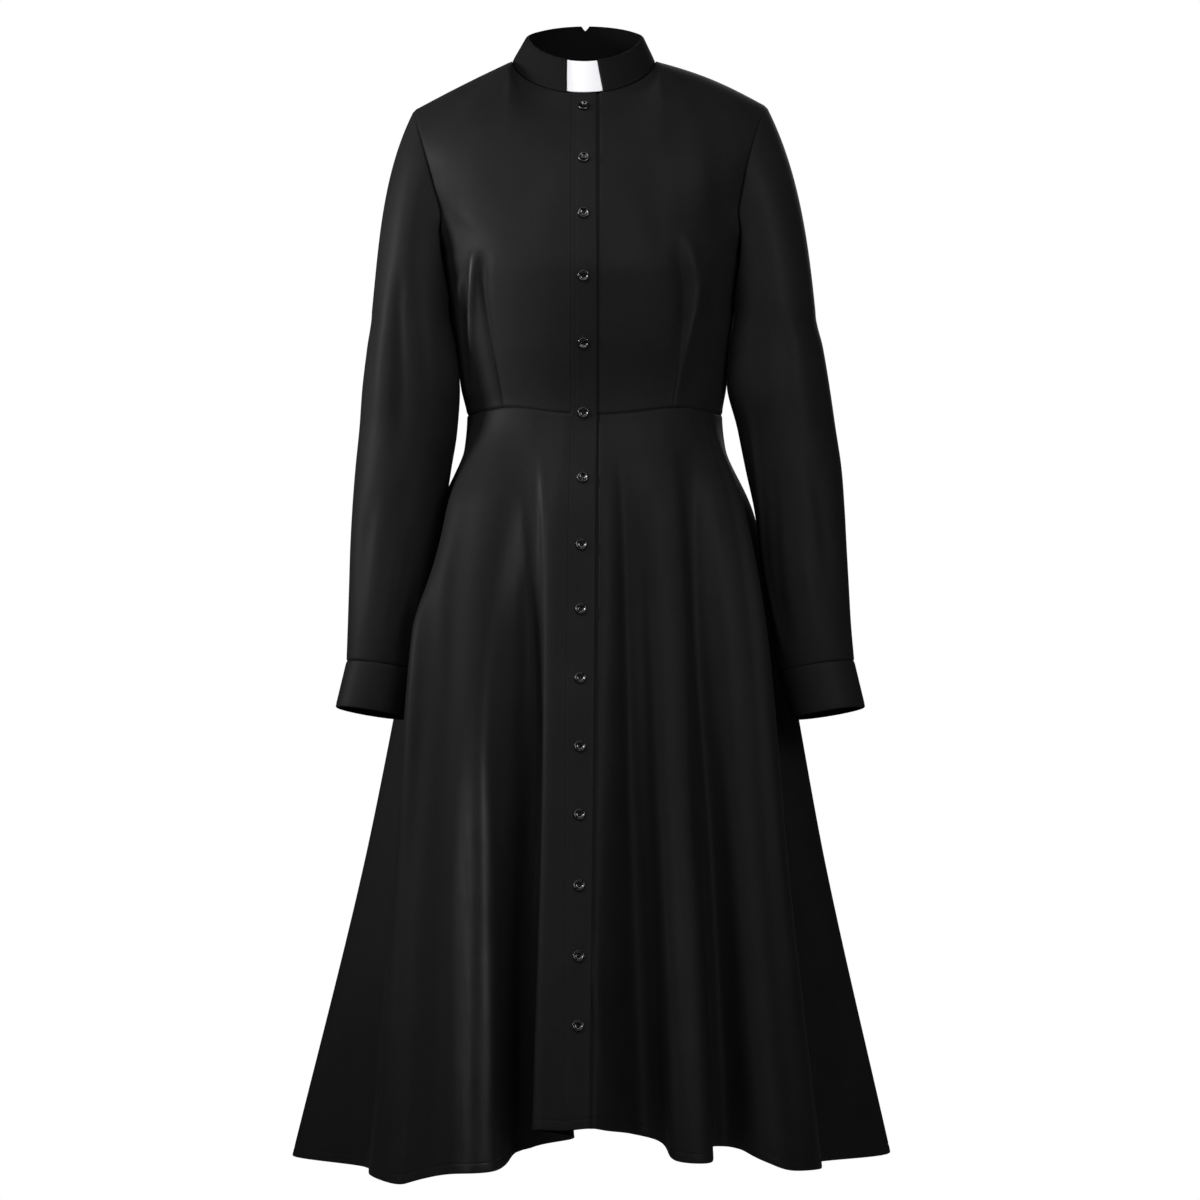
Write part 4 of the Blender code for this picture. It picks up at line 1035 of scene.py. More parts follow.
def cloth_piece(name, grid, normals, finish, thickness, creases=(), reliefs=(), place=None, around=False,
                tuck=0.0, matt=0.0, slot="crepe"):
    """Makes a panel, its creases and seams worked into its outer points. tuck turns its top edge in."""
    place = grid[..., 0] / MM if place is None else place
    shift = crease_shift(place, grid[..., 2] / MM, creases)
    ridge = smooth_share((shift - LOOSE_RIDGE) / (TAUT_RIDGE - LOOSE_RIDGE))
    grid = grid + normals * (shift + relief_shift(grid, reliefs))[..., None]
    SEWN[name] = grid, grid_normals(grid, around, normals)
    if tuck:
        turned = grid[0] - unit(grid[1] - grid[0]) * tuck - normals[0] * tuck
        grid, normals = np.concatenate((turned[None], grid)), np.concatenate((normals[:1], normals))
        ridge = np.concatenate((ridge[:1], ridge))
    outward = grid_normals(grid, around, normals)
    dressed(closed_shell(name, grid, outward, thickness, around, ridge, matt), finish, (name,))


def bodice_piece(name, climbs, places, back, cloth, finish, creases, reliefs, sink=None):
    """Makes a panel of the bodice, a little short of its seams. sink sets it in by its x."""
    grid = bodice_point(climbs[:, None], places, back)
    normals = bodice_normal(climbs[:, None], places, back)
    if sink is not None:
        grid = grid - normals * sink(grid[..., 0])[..., None]
    grid[0] = grid[0] + np.array((0, 0, SEAM))
    if back:
        grid[-1] = grid[-1] + np.array((0, SEAM, 0))
    cloth_piece(name, grid, normals, finish, cloth.wall, creases, reliefs)


def underlap_sink(x):
    """How far the left front is set in beneath the placket, and just past its edge."""
    return UNDERLAP_SINK * smooth_share((PLACKET_RIGHT + UNDERLAP_STEP - x) / UNDERLAP_FADE)


def seam_reliefs(cloth, top=True, bottom=True, first=True, last=True):
    """The cloth rolls in at each of a panel's edges that is a seam."""
    edges = ((0, 0, bottom), (0, 1, top), (1, 0, first), (1, 1, last))
    return [Relief(axis, end, 0.0, cloth.seam_width / MM, -cloth.seam_depth / MM)
            for axis, end, sewn in edges if sewn]


def make_bodice(cloth, finish):
    """The two fronts and the back, each with its darts between closer columns."""
    climbs = bodice_climbs()
    side = 1 - SEAM_TRIM
    seams = seam_reliefs(cloth)
    inner = place_at(climbs, PLACKET_LEFT - SEAM)
    places = between((-side, dart_places(climbs, RIGHT_DART), inner), map(steps, RIGHT_FRONT_RUNS))
    bodice_piece("bodice_front_right", climbs, places, False, cloth, finish, FRONT_RIGHT_CREASES, seams[:3])
    start = place_at(climbs, PLACKET_LEFT + UNDERLAP_START)
    step = place_at(climbs, PLACKET_RIGHT + UNDERLAP_STEP)
    places = between((start, step, dart_places(climbs, LEFT_DART), side),
                     (np.linspace(0, 1, UNDERLAP_COLUMNS), *map(steps, LEFT_FRONT_RUNS)))
    bodice_piece("bodice_front_left", climbs, places, False, cloth, finish, FRONT_LEFT_CREASES,
                 seams[:2] + seams[3:], underlap_sink)
    darts = [dart_places(climbs, line, True) for line in BACK_DARTS]
    places = between((-side, *darts, side), map(steps, BACK_RUNS))
    bodice_piece("bodice_back", climbs, places, True, cloth, finish, BACK_CREASES, seams)


def make_sleeve(cloth, finish, name, rings, side, creases):
    """One sleeve, from its armhole down to its cuff seam."""
    half = steps(SLEEVE_ROUND_RUN, first=False)
    turns = math.pi * np.concatenate((half, 1 + (1 - half[::-1])[1:]))[:-1]
    head, arm = steps(SLEEVE_HEAD_RUN, last=False), steps(SLEEVE_ARM_RUN, first=False)[1:]
    grid = sleeve_grid(rings, side, turns, head, arm)
    cloth_piece("sleeve_" + name, grid, grid_normals(grid, True), finish, cloth.wall, creases,
                seam_reliefs(cloth, first=False, last=False), around=True, tuck=SEAM_ALLOWANCE,
                place=np.broadcast_to(np.degrees(turns), grid.shape[:2]))


def make_cuff(finish, name, start, end):
    """One cuff, which laps over itself at the back of the arm."""
    turns = 2 * math.pi * np.arange(CUFF_COLUMNS) / CUFF_COLUMNS
    grid = ring_point(ring_between(start, end, steps(CUFF_RUN)[:, None]), turns, 1.0)
    grid[0] = grid[0] - np.array((0, 0, SEAM))
    normals = grid_normals(grid, True)
    angle = np.degrees(turns)
    under = np.where(angle < CUFF_EDGE, smooth_share((angle - CUFF_UNDER) / CUFF_UNDER_FADE),
                     smooth_share((CUFF_EDGE + CUFF_EDGE_STEP - angle) / CUFF_EDGE_STEP))
    grid = grid - normals * (CUFF_UNDER_SINK * under)[None, :, None]
    cloth_piece("cuff_" + name, grid, normals, finish, CUFF_WALL, (), CUFF_RELIEFS, around=True)


def make_collar(finish):
    """The band collar, open in front and notched at the centre back."""
    notch = NOTCH_HALF_ANGLE / (2 * math.pi)
    near = 0.5 + notch * np.linspace(-1, 1, NOTCH_COLUMNS)
    side = steps(COLLAR_SIDE_RUN, last=False) * (0.5 - notch)
    shares = np.concatenate((side[:-1], near, (1 - side[:-1])[::-1]))
    points, ways = [], []
    for lift in steps(COLLAR_RUN):
        right, left = collar_turns(lift)
        turns = left + (2 * math.pi + right - left) * shares
        dip = np.maximum(0, 1 - np.abs(turns - math.pi) / NOTCH_HALF_ANGLE) ** NOTCH_ROUND
        row = ring_round(turns, lift * (1 - NOTCH_DEPTH / COLLAR_BAND * dip))
        row[:, 2] += COLLAR_LIFT * (1 - lift)
        points.append(row)
        ways.append(collar_normal(turns, lift))
    # The collar's outer side is made rougher, and its colour is darkened with painted shade
    cloth_piece("collar", np.array(points), np.array(ways), finish, COLLAR_WALL, (), COLLAR_RELIEFS,
                matt=COLLAR_MATT_AND_SHADE)


def make_tab(finish):
    """The white tab, tucked behind the collar's two ends."""
    outer, ways = [], []
    tuck = TAB_TUCK / NECK_HALF_WIDTH
    for lift in TAB_FOOT + (1 - TAB_FOOT) * steps(TAB_UP_RUN):
        right, left = collar_turns(lift)
        turns = right - tuck + (left - right + 2 * tuck) * steps(TAB_ACROSS_RUN)
        way = collar_normal(turns, lift)
        outer.append(ring_round(turns, lift) - way * (COLLAR_WALL + SEAM))
        ways.append(way)
    cloth_piece("collar_tab", np.array(outer), np.array(ways), finish, TAB_WALL, (), TAB_RELIEFS, slot="tab")


def skirt_shares():
    """The skirt's rows as shares down from the waist, with closer ones at the hem's stitches."""
    return np.unique(np.concatenate((steps(SKIRT_RUN), 1 - np.array(HEM_ROWS) / SKIRT_RUN[1])))


def skirt_columns(first, last):
    """The columns of a skirt panel from one fold to another, closer near its seams."""
    near = CLOSE / FOLD_LENGTH
    inside = np.linspace(first + near[-1], last - near[-1], int((last - first) * FOLD_COLUMNS))
    return np.concatenate((first + near[:-1], inside, (last - near[:-1])[::-1]))


def eased(grid, first, last):
    """The grid with its folds eased between two places across the front, and left as it is elsewhere."""
    across = grid[..., 0]
    share = smooth_share((across - first) / EASE_FADE) * smooth_share((last - across) / EASE_FADE)
    for _ in range(EASE_PASSES):
        middle = (grid[:, :-2] + grid[:, 2:]) / 2
        grid[:, 1:-1] += (middle - grid[:, 1:-1]) * share[:, 1:-1, None] * EASE_SHARE
    return grid


def skirt_piece(name, first, last, cloth, finish, creases, sewn_first=True, sewn_last=True, under=None,
                ease=None):
    """Makes a skirt panel between two folds. under is the share of its sinking beneath the placket."""
    columns = skirt_columns(first, last)
    if under is not None:
        closer = np.linspace(first, first + 1.0, SKIRT_UNDERLAP_COLUMNS)
        columns = np.unique(np.concatenate((columns, closer)))
    grid = skirt_grid(skirt_shares(), columns)
    if ease is not None:
        grid = eased(grid, *ease)
    normals = grid_normals(grid, False)
    if under is not None:
        grid = grid - normals * (UNDERLAP_SINK * under(columns))[None, :, None]
    grid[0] = grid[0] - np.array((0, 0, SEAM))
    reliefs = seam_reliefs(cloth, top=False, first=sewn_first, last=sewn_last)
    cloth_piece(name, grid, normals, finish, cloth.wall, creases, reliefs + HEM_RELIEFS)


def make_skirt(cloth, finish):
    """The skirt's two fronts, on each side of the placket, and its back."""
    start, edge = fold_index("placket_right"), fold_index("placket_left")
    side, whole = fold_index("side_left"), len(skirt_folds())

    def under(columns):
        """The share of the sinking beneath the placket, by the left front's columns."""
        return smooth_share((edge + SKIRT_UNDERLAP - columns) / SKIRT_UNDERLAP_FADE)

    skirt_piece("skirt_front_right", 0, start - SKIRT_GAP, cloth, finish, SKIRT_RIGHT_CREASES,
                sewn_last=False, ease=RIGHT_EASE)
    skirt_piece("skirt_front_left", start + SKIRT_UNDERLAP, side, cloth, finish, SKIRT_LEFT_CREASES,
                sewn_first=False, under=under, ease=LEFT_EASE)
    skirt_piece("skirt_back", side, whole, cloth, finish, SKIRT_BACK_CREASES)


def placket_grid(shares):
    """The strip from the neck to the hem: its bodice rows, then its skirt rows."""
    climbs = bodice_climbs()[::-1]
    left, right = place_at(climbs, PLACKET_LEFT)[:, None], place_at(climbs, PLACKET_RIGHT)[:, None]
    places = part_way(left, right, shares)
    bodice = bodice_point(climbs[:, None], places, False)
    skirt = skirt_grid(skirt_shares()[2:], fold_index("placket_right") + shares)
    bodice_ways = bodice_normal(climbs[:, None], places, False)
    return np.concatenate((bodice, skirt)), np.concatenate((bodice_ways, grid_normals(skirt, False)))


def make_placket(cloth, finish):
    """The placket, stitched down its outer edge."""
    cloth_piece("placket", *placket_grid(steps(PLACKET_RUN)), finish, cloth.wall, (), PLACKET_RELIEFS)


class Grown(Tree):
    """A Geometry Nodes tree with named inputs, which ends in real geometry of one finish."""

    def __init__(self, name, sizes):
        super().__init__(bpy.data.node_groups.new(name, "GeometryNodeTree"))
        self.tree.interface.new_socket("Geometry", in_out="OUTPUT", socket_type="NodeSocketGeometry")
        inputs = (("Geometry", "Geometry"), *sizes, ("Seed", "Int"), ("Finish", "Material"))
        for label, kind in inputs:
            self.tree.interface.new_socket(label, in_out="INPUT", socket_type="NodeSocket" + kind)
        group = self.tree.nodes.new("NodeGroupInput")
        self.given = {socket.name: Value(self, socket) for socket in group.outputs}

    def aligned(self, axis, vector, rotation=None):
        """A rotation that turns an axis to a vector. One that is given turns on about its own Z."""
        kind = "FunctionNodeAlignRotationToVector"
        if rotation is None:
            return self.node(kind, 0, {"axis": axis}, {"Vector": vector})
        settings = {"axis": axis, "pivot_axis": "Z"}
        return self.node(kind, 0, settings, {"Vector": vector, "Rotation": rotation})

    def swayed(self, rotation, amount, axes):
        """A rotation with a random turn of up to an amount about some axes."""
        limits = {2: amount * -1.0, 3: amount, "Seed": self.given["Seed"]}
        sway = self.node("FunctionNodeRandomValue", 1, {"data_type": "FLOAT"}, limits)
        angles = self.node("ShaderNodeCombineXYZ", inputs=dict.fromkeys(axes, sway))
        tilt = self.node("FunctionNodeEulerToRotation", inputs={"Euler": angles})
        return self.node("FunctionNodeRotateRotation", settings={"rotation_space": "LOCAL"},
                         inputs={"Rotation": rotation, "Rotate By": tilt})

    def end(self, points, piece, rotation, size):
        """Sets the piece on every point, as real and smooth geometry in its finish."""
        scale = self.node("ShaderNodeCombineXYZ", inputs=dict(zip("XYZ", size)))
        made = self.node("GeometryNodeInstanceOnPoints", inputs={
            "Points": points, "Instance": piece, "Rotation": rotation, "Scale": scale})
        made = self.node("GeometryNodeRealizeInstances", inputs={"Geometry": made})
        made = self.node("GeometryNodeSetShadeSmooth", inputs={"Geometry": made})
        inputs = {"Geometry": made, "Material": self.given["Finish"]}
        made = self.node("GeometryNodeSetMaterial", inputs=inputs)
        self.feed(self.tree.nodes.new("NodeGroupOutput").inputs[0], made)
        return self.tree


def grow(source, tree, name, values):
    """Runs a tree on an object and gives the plain mesh object that it makes."""
    modifier = source.modifiers.new(name, "NODES")
    modifier.node_group = tree
    for item in tree.interface.items_tree:
        if item.item_type == "SOCKET" and item.in_out == "INPUT" and item.name in values:
            modifier[item.identifier] = values[item.name]
    source.update_tag()
    mesh = evaluated_mesh(source)
    mesh.name = name
    source.modifiers.clear()
    bpy.data.objects.remove(source, do_unlink=True)
    return placed(name, mesh)


def points_object(name, points, edges=(), vectors=None):
    """A mesh of bare points or lines, with vectors kept on its points."""
    mesh = bpy.data.meshes.new(name)
    mesh.from_pydata([tuple(point) for point in points], list(edges), [])
    for label, values in (vectors or {}).items():
        layer = mesh.attributes.new(label, "FLOAT_VECTOR", "POINT")
        layer.data.foreach_set("vector", np.asarray(values, np.float32).reshape(-1))
    return placed(name, mesh)


def stitch_tree():
    """Stitches end to end along every line of a mesh."""
    grown = Grown("stitch_run", [(label, "Float") for label in ("Pitch", "Stitch", "Thread", "Wobble")])
    given = grown.given
    curve = grown.node("GeometryNodeMeshToCurve", inputs={"Mesh": given["Geometry"]})
    spots = grown.node("GeometryNodeResampleCurve", settings={"mode": "LENGTH"},
                       inputs={"Curve": curve, "Length": given["Pitch"]})
    ball = grown.node("GeometryNodeMeshUVSphere", inputs={"Segments": 6, "Rings": 4, "Radius": 1.0})
    turned = grown.swayed(grown.aligned("Z", grown.node("GeometryNodeInputTangent")), given["Wobble"], "XY")
    return grown.end(spots, ball, turned, (given["Thread"], given["Thread"], given["Stitch"] * 0.5))


def set_tree():
    """One made piece at each point, turned to face out of the cloth."""
    grown = Grown("set_on_cloth", (("Piece", "Object"), ("Size", "Float"), ("Spin", "Float")))
    given = grown.given
    made = grown.node("GeometryNodeObjectInfo", output="Geometry", inputs={"Object": given["Piece"]})
    facing, upward = (grown.node("GeometryNodeInputNamedAttribute", settings={"data_type": "FLOAT_VECTOR"},
                                 inputs={"Name": label}) for label in ("facing", "upward"))
    upright = grown.aligned("Y", upward, grown.aligned("Z", facing))
    turned = grown.swayed(upright, given["Spin"], "Z")
    return grown.end(given["Geometry"], made, turned, (given["Size"],) * 3)


def loft(build, rings, closed=False):
    """Faces from each ring of points to the next, and from the last to the first where it is closed."""
    for upper, lower in zip(rings, rings[1:] + (rings[:1] if closed else [])):
        count = max(len(upper), len(lower))
        for step in range(count):
            beside = (step + 1) % count
            corners = dict.fromkeys((upper[step % len(upper)], lower[step % len(lower)],
                                     lower[beside % len(lower)], upper[beside % len(upper)]))
            build.faces.new(tuple(corners))


def solid_object(name, build):
    """An object from a closed mesh in the making, which is used up."""
    bmesh.ops.recalc_face_normals(build, faces=build.faces)
    mesh = bpy.data.meshes.new(name)
    build.to_mesh(mesh)
    build.free()
    return placed(name, mesh)


# A button's radius and height from its dish out to its rim and back under it, and its four holes, in mm
BUTTON_PROFILE = ((0.0, 1.15), (1.6, 1.15), (2.7, 1.25), (3.3, 1.5), (3.9, 2.15), (4.35, 2.5), (4.8, 2.6),
                  (5.2, 2.5), (5.55, 2.15), (5.75, 1.6), (5.7, 1.0), (5.3, 0.45), (4.6, 0.05), (3.0, 0.0),
                  (0.0, 0.0))
BUTTON_SIDES = 40
HOLE_REACH = 1.05
HOLE_RADIUS = 0.55
HOLE_SIDES = 12
HOLE_DEPTH = 6
HOLE_MIDDLE = 1

# The thread on a button: its two strands' places, radius, half length, foot and rise, in mm
STRANDS = (-0.2, 0.2)
STRAND_RADIUS = 0.21
STRAND_REACH = 1.25
STRAND_FOOT = 1.0
STRAND_RISE = 0.75
STRAND_POINTS = 9

# A buttonhole's welt: its half width, its thread, how flat and how puffed it is, and how blunt its ends are
WELT_WIDTH = 1.15 * MM
WELT_THREAD = 0.42 * MM
WELT_FLAT = 0.6
WELT_PUFF = 0.12
WELT_ENDS = 6
WELT_STITCHES = 48
WELT_SINK = 0.3 * MM

# The corners of a thread, as turns round its middle
THREAD_TURNS = [2 * math.pi * corner / 6 for corner in range(6)]


def button_model():
    """A dished button with four sewing holes cut through."""
    build = bmesh.new()
    rings = []
    for radius, height in BUTTON_PROFILE:
        number = BUTTON_SIDES if radius > 0 else 1
        turns = [2 * math.pi * step / number for step in range(number)]
        rings.append([build.verts.new((radius * MM * math.cos(turn), radius * MM * math.sin(turn),
                                       height * MM)) for turn in turns])
    loft(build, rings)
    button = solid_object("button_model", build)
    build = bmesh.new()
    for x in (-HOLE_REACH, HOLE_REACH):
        for y in (-HOLE_REACH, HOLE_REACH):
            bmesh.ops.create_cone(build, cap_ends=True, segments=HOLE_SIDES, radius1=HOLE_RADIUS * MM,
                                  radius2=HOLE_RADIUS * MM, depth=HOLE_DEPTH * MM,
                                  matrix=Matrix.Translation((x * MM, y * MM, HOLE_MIDDLE * MM)))
    holes = solid_object("holes", build)
    cut = button.modifiers.new("holes", "BOOLEAN")
    cut.object = holes
    cut.solver = "EXACT"
    whole = evaluated_mesh(button)
    for thing in (button, holes):
        bpy.data.objects.remove(thing, do_unlink=True)
    return placed("button_model", whole)


def thread_model():
    """Strands of thread that cross a button's dish between its holes."""
    build = bmesh.new()
    side = Vector((0, 1, 0))
    for y in (-HOLE_REACH, HOLE_REACH):
        for strand in STRANDS:
            arch = [(x, math.sqrt(max(0.0, 1 - (x / STRAND_REACH) ** 2)))
                    for x in np.linspace(-STRAND_REACH, STRAND_REACH, STRAND_POINTS)]
            spine = [(x, y + strand, STRAND_FOOT + STRAND_RISE * rise) for x, rise in arch]
            rings = []
            for ahead, point, behind in zip(spine[1:] + spine[-1:], spine, spine[:1] + spine[:-1]):
                over = side.cross(Vector((ahead[0] - behind[0], 0, ahead[2] - behind[2])).normalized())
                rings.append([build.verts.new(
                    (Vector(point) + (side * math.cos(turn) + over * math.sin(turn)) * STRAND_RADIUS) * MM)
                    for turn in THREAD_TURNS])
            loft(build, rings)
            build.faces.new(rings[0])
            build.faces.new(rings[-1])
    return solid_object("thread_model", build)


def buttonhole_model(length):
    """A closed buttonhole: a flat oval welt of stitches round its slit."""
    build = bmesh.new()
    rings = []
    for step in range(WELT_STITCHES):
        angle = 2 * math.pi * step / WELT_STITCHES
        run = (length / 2 - WELT_WIDTH) * min(1.0, max(-1.0, math.sin(angle) * WELT_ENDS))
        centre = Vector((WELT_WIDTH * math.cos(angle), run + WELT_WIDTH * math.sin(angle), 0))
        out = Vector((math.cos(angle), math.sin(angle), 0))
        puff = WELT_THREAD * (1 + WELT_PUFF * (step % 2))
        rings.append([build.verts.new(centre + out * puff * math.cos(turn)
                                      + Vector((0, 0, puff * WELT_FLAT * math.sin(turn))))
                      for turn in THREAD_TURNS])
    loft(build, rings, True)
    return solid_object("buttonhole_model", build)


# Shares across the placket at its middle, and how far up and down from its middle a button rests on it
PLACKET_MIDDLE = (0.38, 0.5, 0.62)
BUTTON_REACH = 5.8 * MM

# The middle of a cuff as shares down it, the turn to each side of its button, and the button's seat
CUFF_MIDDLE = (0.4, 0.5, 0.6)
CUFF_TURN = 2 * math.pi / 24
CUFF_SEAT = 0.8 * MM


def button_seats():
    """Where each placket button sits: its point, the way it faces and the way up."""
    grid, normals = placket_grid(np.array(PLACKET_MIDDLE))
    middle, outward = grid[:, 1], unit(normals[:, 1])

    def read(lines, height):
        """A line's values at a height."""
        return np.array([np.interp(-height, -middle[:, 2], lines[:, axis]) for axis in range(3)])

    seats = []
    for height in BUTTON_HEIGHTS:
        point, normal = read(middle, height * MM), unit(read(outward, height * MM))
        ends = [read(middle, height * MM + step) for step in (-BUTTON_REACH, BUTTON_REACH)]
        seat = max(0.0, *(float((end - point) @ normal) for end in ends))
        seats.append((point + normal * (seat + SEAM), normal, unit(ends[1] - ends[0])))
    return [np.array(rows) for rows in zip(*seats)]


def cuff_seat(start, end):
    """Where a cuff's button sits: its point, the way it faces and the way up."""
    turns = CUFF_TURN * (round(math.radians(CUFF_BUTTON_ANGLE) / CUFF_TURN) + np.array((-0.5, 0.0, 0.5)))
    grid = np.array([ring_point(ring_between(start, end, share), turns, 1.0) for share in CUFF_MIDDLE])
    normal = unit(np.cross(grid[1, 2] - grid[1, 0], grid[2, 1] - grid[0, 1]))
    middle = np.array([(start.outer + start.inner) / 2, (start.back + start.front) / 2]) * MM
    if np.dot(normal[:2], grid[1, 1][:2] - middle) < 0:
        normal = -normal
    return grid[1, 1] + normal * CUFF_SEAT, normal, unit(grid[0, 1] - grid[2, 1])


def sewn_lines(lines):
    """Points and edges of several open lines, each resampled evenly."""
    points, edges = [], []
    for line in lines:
        run = np.concatenate(([0.0], np.cumsum(np.linalg.norm(np.diff(line, axis=0), axis=1))))
        count = max(2, int(run[-1] / LINE_STEP))
        even = np.linspace(0, run[-1], count)
        first = len(points)
        points.extend(np.stack([np.interp(even, run, line[:, axis]) for axis in range(3)], axis=-1))
        edges.extend((first + step, first + step + 1) for step in range(count - 1))
    return points, edges


def inset_row(grid, normals, axis, end, place, lift):
    """The line on a grid that lies a distance in from one of its edges."""
    run = run_along(grid, axis, end) / MM
    grid, normals, run = (np.moveaxis(thing, axis, 0)[::-1 if end else 1] for thing in (grid, normals, run))
    line = []
    for column in range(grid.shape[1]):
        after = max(1, int(np.searchsorted(run[:, column], place)))
        share = (place - run[after - 1, column]) / (run[after, column] - run[after - 1, column])
        point = grid[after - 1, column] * (1 - share) + grid[after, column] * share
        line.append(point + normals[after, column] * lift)
    return np.array(line)


# How closely a line of stitches is read, how far a stitch may lean, and the seed of the first line's leanings
LINE_STEP = 2.5 * MM
STITCH_LEAN = 0.06
STITCH_SEED = 11

# Lines of stitches by run: panel, way of its edge, end, distance in, points left out, and share of the line
STITCH_LINES = (
    ("placket", (("placket", 1, 0, PLACKET_STITCH, 4, 1.0), ("placket", 0, 1, HEM_STITCH, 2, 1.0))),
    ("hem", (("skirt_front_right", 0, 1, HEM_STITCH, 2, 1.0), ("skirt_front_left", 0, 1, HEM_STITCH, 2, 1.0),
             ("skirt_back", 0, 1, HEM_STITCH, 2, 1.0))),
    ("collar", tuple(("collar", axis, end, COLLAR_STITCH, 4, 1.0) for axis, end in ((1, 0), (0, 0), (1, 1)))),
    ("cuffs", tuple((cuff, 0, end, CUFF_STITCH, 0, CUFF_STITCHED)
                    for cuff in ("cuff_right", "cuff_left") for end in (0, 1))),
)

# Where the left front's hem comes out from under the placket
HEM_SHOWN = PLACKET_RIGHT + 8 * MM


def sewn_line(panel, axis, end, place, skip, share, lift):
    """One line of stitches on a made panel, at a distance in from one of its edges."""
    line = inset_row(*SEWN[panel], axis, end, place, lift)
    line = line[skip:int(len(line) * share) - skip]
    return line[line[:, 0] > HEM_SHOWN] if panel == "skirt_front_left" else line


def colour_value(name, description, colour):
    """A colour for the sidebar."""
    return FloatVectorProperty(name=name, description=description, size=4, subtype="COLOR", min=0, max=1,
                               default=(*colour, 1.0))


def share_value(name, description, share):
    """A share from 0 to 1 for the sidebar."""
    return FloatProperty(name=name, description=description, subtype="FACTOR", min=0, max=1, default=share)


def length_value(name, description, length):
    """A length for the sidebar, in metres."""
    return FloatProperty(name=name, description=description, unit="LENGTH", default=length)


def power_value(name, place, watts):
    """A light's power for the sidebar."""
    return FloatProperty(name=name, description="Power of the " + place + ", in watts", default=watts)


class DressCloth(PropertyGroup):
    """The crepe and the tab"""
    colour: colour_value("Crepe colour", "Colour of the crepe", (0.0105, 0.0102, 0.0106))
    tab_colour: colour_value("Tab colour", "Colour of the collar's tab", (0.95, 0.95, 0.95))
    roughness: share_value("Roughness", "How matt the crepe is", 0.62)
    sheen: share_value("Sheen", "Soft light off the crepe's threads", 0.01)
    shine: share_value("Shine", "Strength of the crepe's reflections", 0.062)
    gloss: share_value("Satin gloss", "Strength of the tighter satin highlight", 0.022)
    gloss_blur: share_value("Satin blur", "How wide the tighter satin highlight spreads", 0.42)
    ridge_gloss: FloatProperty(name="Ridge gloss", description="How much shinier the satin is on taut ridges",
                               min=0, default=18.0)
    thread_pitch: length_value("Thread pitch", "Distance between two threads of the weave", 0.55 * MM)
    wall: length_value("Cloth thickness", "Thickness of the crepe with its turned edges", 1.2 * MM)
    seam_depth: length_value("Seam depth", "How far the cloth rolls in at a seam", 0.9 * MM)
    seam_width: length_value("Seam width", "How far from a seam the cloth begins to roll in", 1.2 * MM)


class DressSewing(PropertyGroup):
    """The thread and its stitches"""
    colour: colour_value("Thread colour", "Colour of the sewing thread", (0.006, 0.006, 0.0065))
    stitch: length_value("Stitch length", "Length of one stitch", 2.1 * MM)
    pitch: length_value("Stitch pitch", "Distance from one stitch to the next", 2.6 * MM)
    thread: length_value("Thread radius", "Radius of the thread", 0.22 * MM)
    seat: length_value("Stitch height", "Height of a stitch's middle over the pressed line", -0.1 * MM)
    buttonhole: length_value("Buttonhole length", "Length of a buttonhole's welt", 14.0 * MM)


class DressButtons(PropertyGroup):
    """The buttons"""
    colour: colour_value("Button colour", "Colour of the buttons", (0.003, 0.003, 0.0034))
    size: FloatProperty(name="Button size", description="Size of a button next to its 11.5 mm model",
                        default=1.0)
    spin: FloatProperty(name="Button spin", description="How far a button may be turned on its thread",
                        subtype="ANGLE", default=math.radians(35))
    seed: IntProperty(name="Seed", description="Order of the small differences", default=7)


class DressStage(PropertyGroup):
    """The floor and the lights"""
    drop: length_value("Floor drop", "How far the floor lies below the hem", 0.30)
    radius: length_value("Floor radius", "Radius of the pale floor", 1.4)
    key: power_value("Key light", "soft light at the upper left", 5.2)
    side: power_value("Side light", "tall soft light at the left", 3.0)
    top: power_value("Top light", "soft light above the front", 5.2)
    fill: power_value("Fill light", "soft light at the upper right", 4.6)
    wall: power_value("Right light", "tall soft light at the right", 1.6)
    back: power_value("Back light", "soft light behind the dress", 9.0)
    rim: power_value("Rim light", "soft light behind the left shoulder", 3.9)
    sky: FloatProperty(name="Room light", description="Strength of the light from all round", default=0.02)


class CLERGY_OT_bodice(Operator):
    """Make the bodice's two fronts and its back"""
    bl_idname = "clergy_dress.bodice"
    bl_label = "Bodice"

    def execute(self, context):
        cloth = context.scene.dress_cloth
        make_bodice(cloth, finish_once("dress_crepe", crepe_finish, cloth))
        return {"FINISHED"}


class CLERGY_OT_sleeves(Operator):
    """Make both sleeves and their cuffs"""
    bl_idname = "clergy_dress.sleeves"
    bl_label = "Sleeves and cuffs"

    def execute(self, context):
        cloth = context.scene.dress_cloth
        finish = finish_once("dress_crepe", crepe_finish, cloth)
        make_sleeve(cloth, finish, "right", RIGHT_SLEEVE, -1, RIGHT_SLEEVE_CREASES)
        make_cuff(finish, "right", RIGHT_SLEEVE[-1], RIGHT_CUFF_END)
        make_sleeve(cloth, finish, "left", LEFT_SLEEVE, 1, LEFT_SLEEVE_CREASES)
        make_cuff(finish, "left", LEFT_SLEEVE[-1], LEFT_CUFF_END)
        return {"FINISHED"}


class CLERGY_OT_collar(Operator):
    """Make the band collar and its white tab"""
    bl_idname = "clergy_dress.collar"
    bl_label = "Collar and tab"

    def execute(self, context):
        cloth = context.scene.dress_cloth
        make_collar(finish_once("dress_crepe", crepe_finish, cloth))
        make_tab(finish_once("tab_plastic", tab_finish, cloth))
        return {"FINISHED"}


class CLERGY_OT_skirt(Operator):
    """Make the skirt's three panels and the placket"""
    bl_idname = "clergy_dress.skirt"
    bl_label = "Skirt and placket"

    def execute(self, context):
        cloth = context.scene.dress_cloth
        finish = finish_once("dress_crepe", crepe_finish, cloth)
        make_skirt(cloth, finish)
        make_placket(cloth, finish)
        return {"FINISHED"}


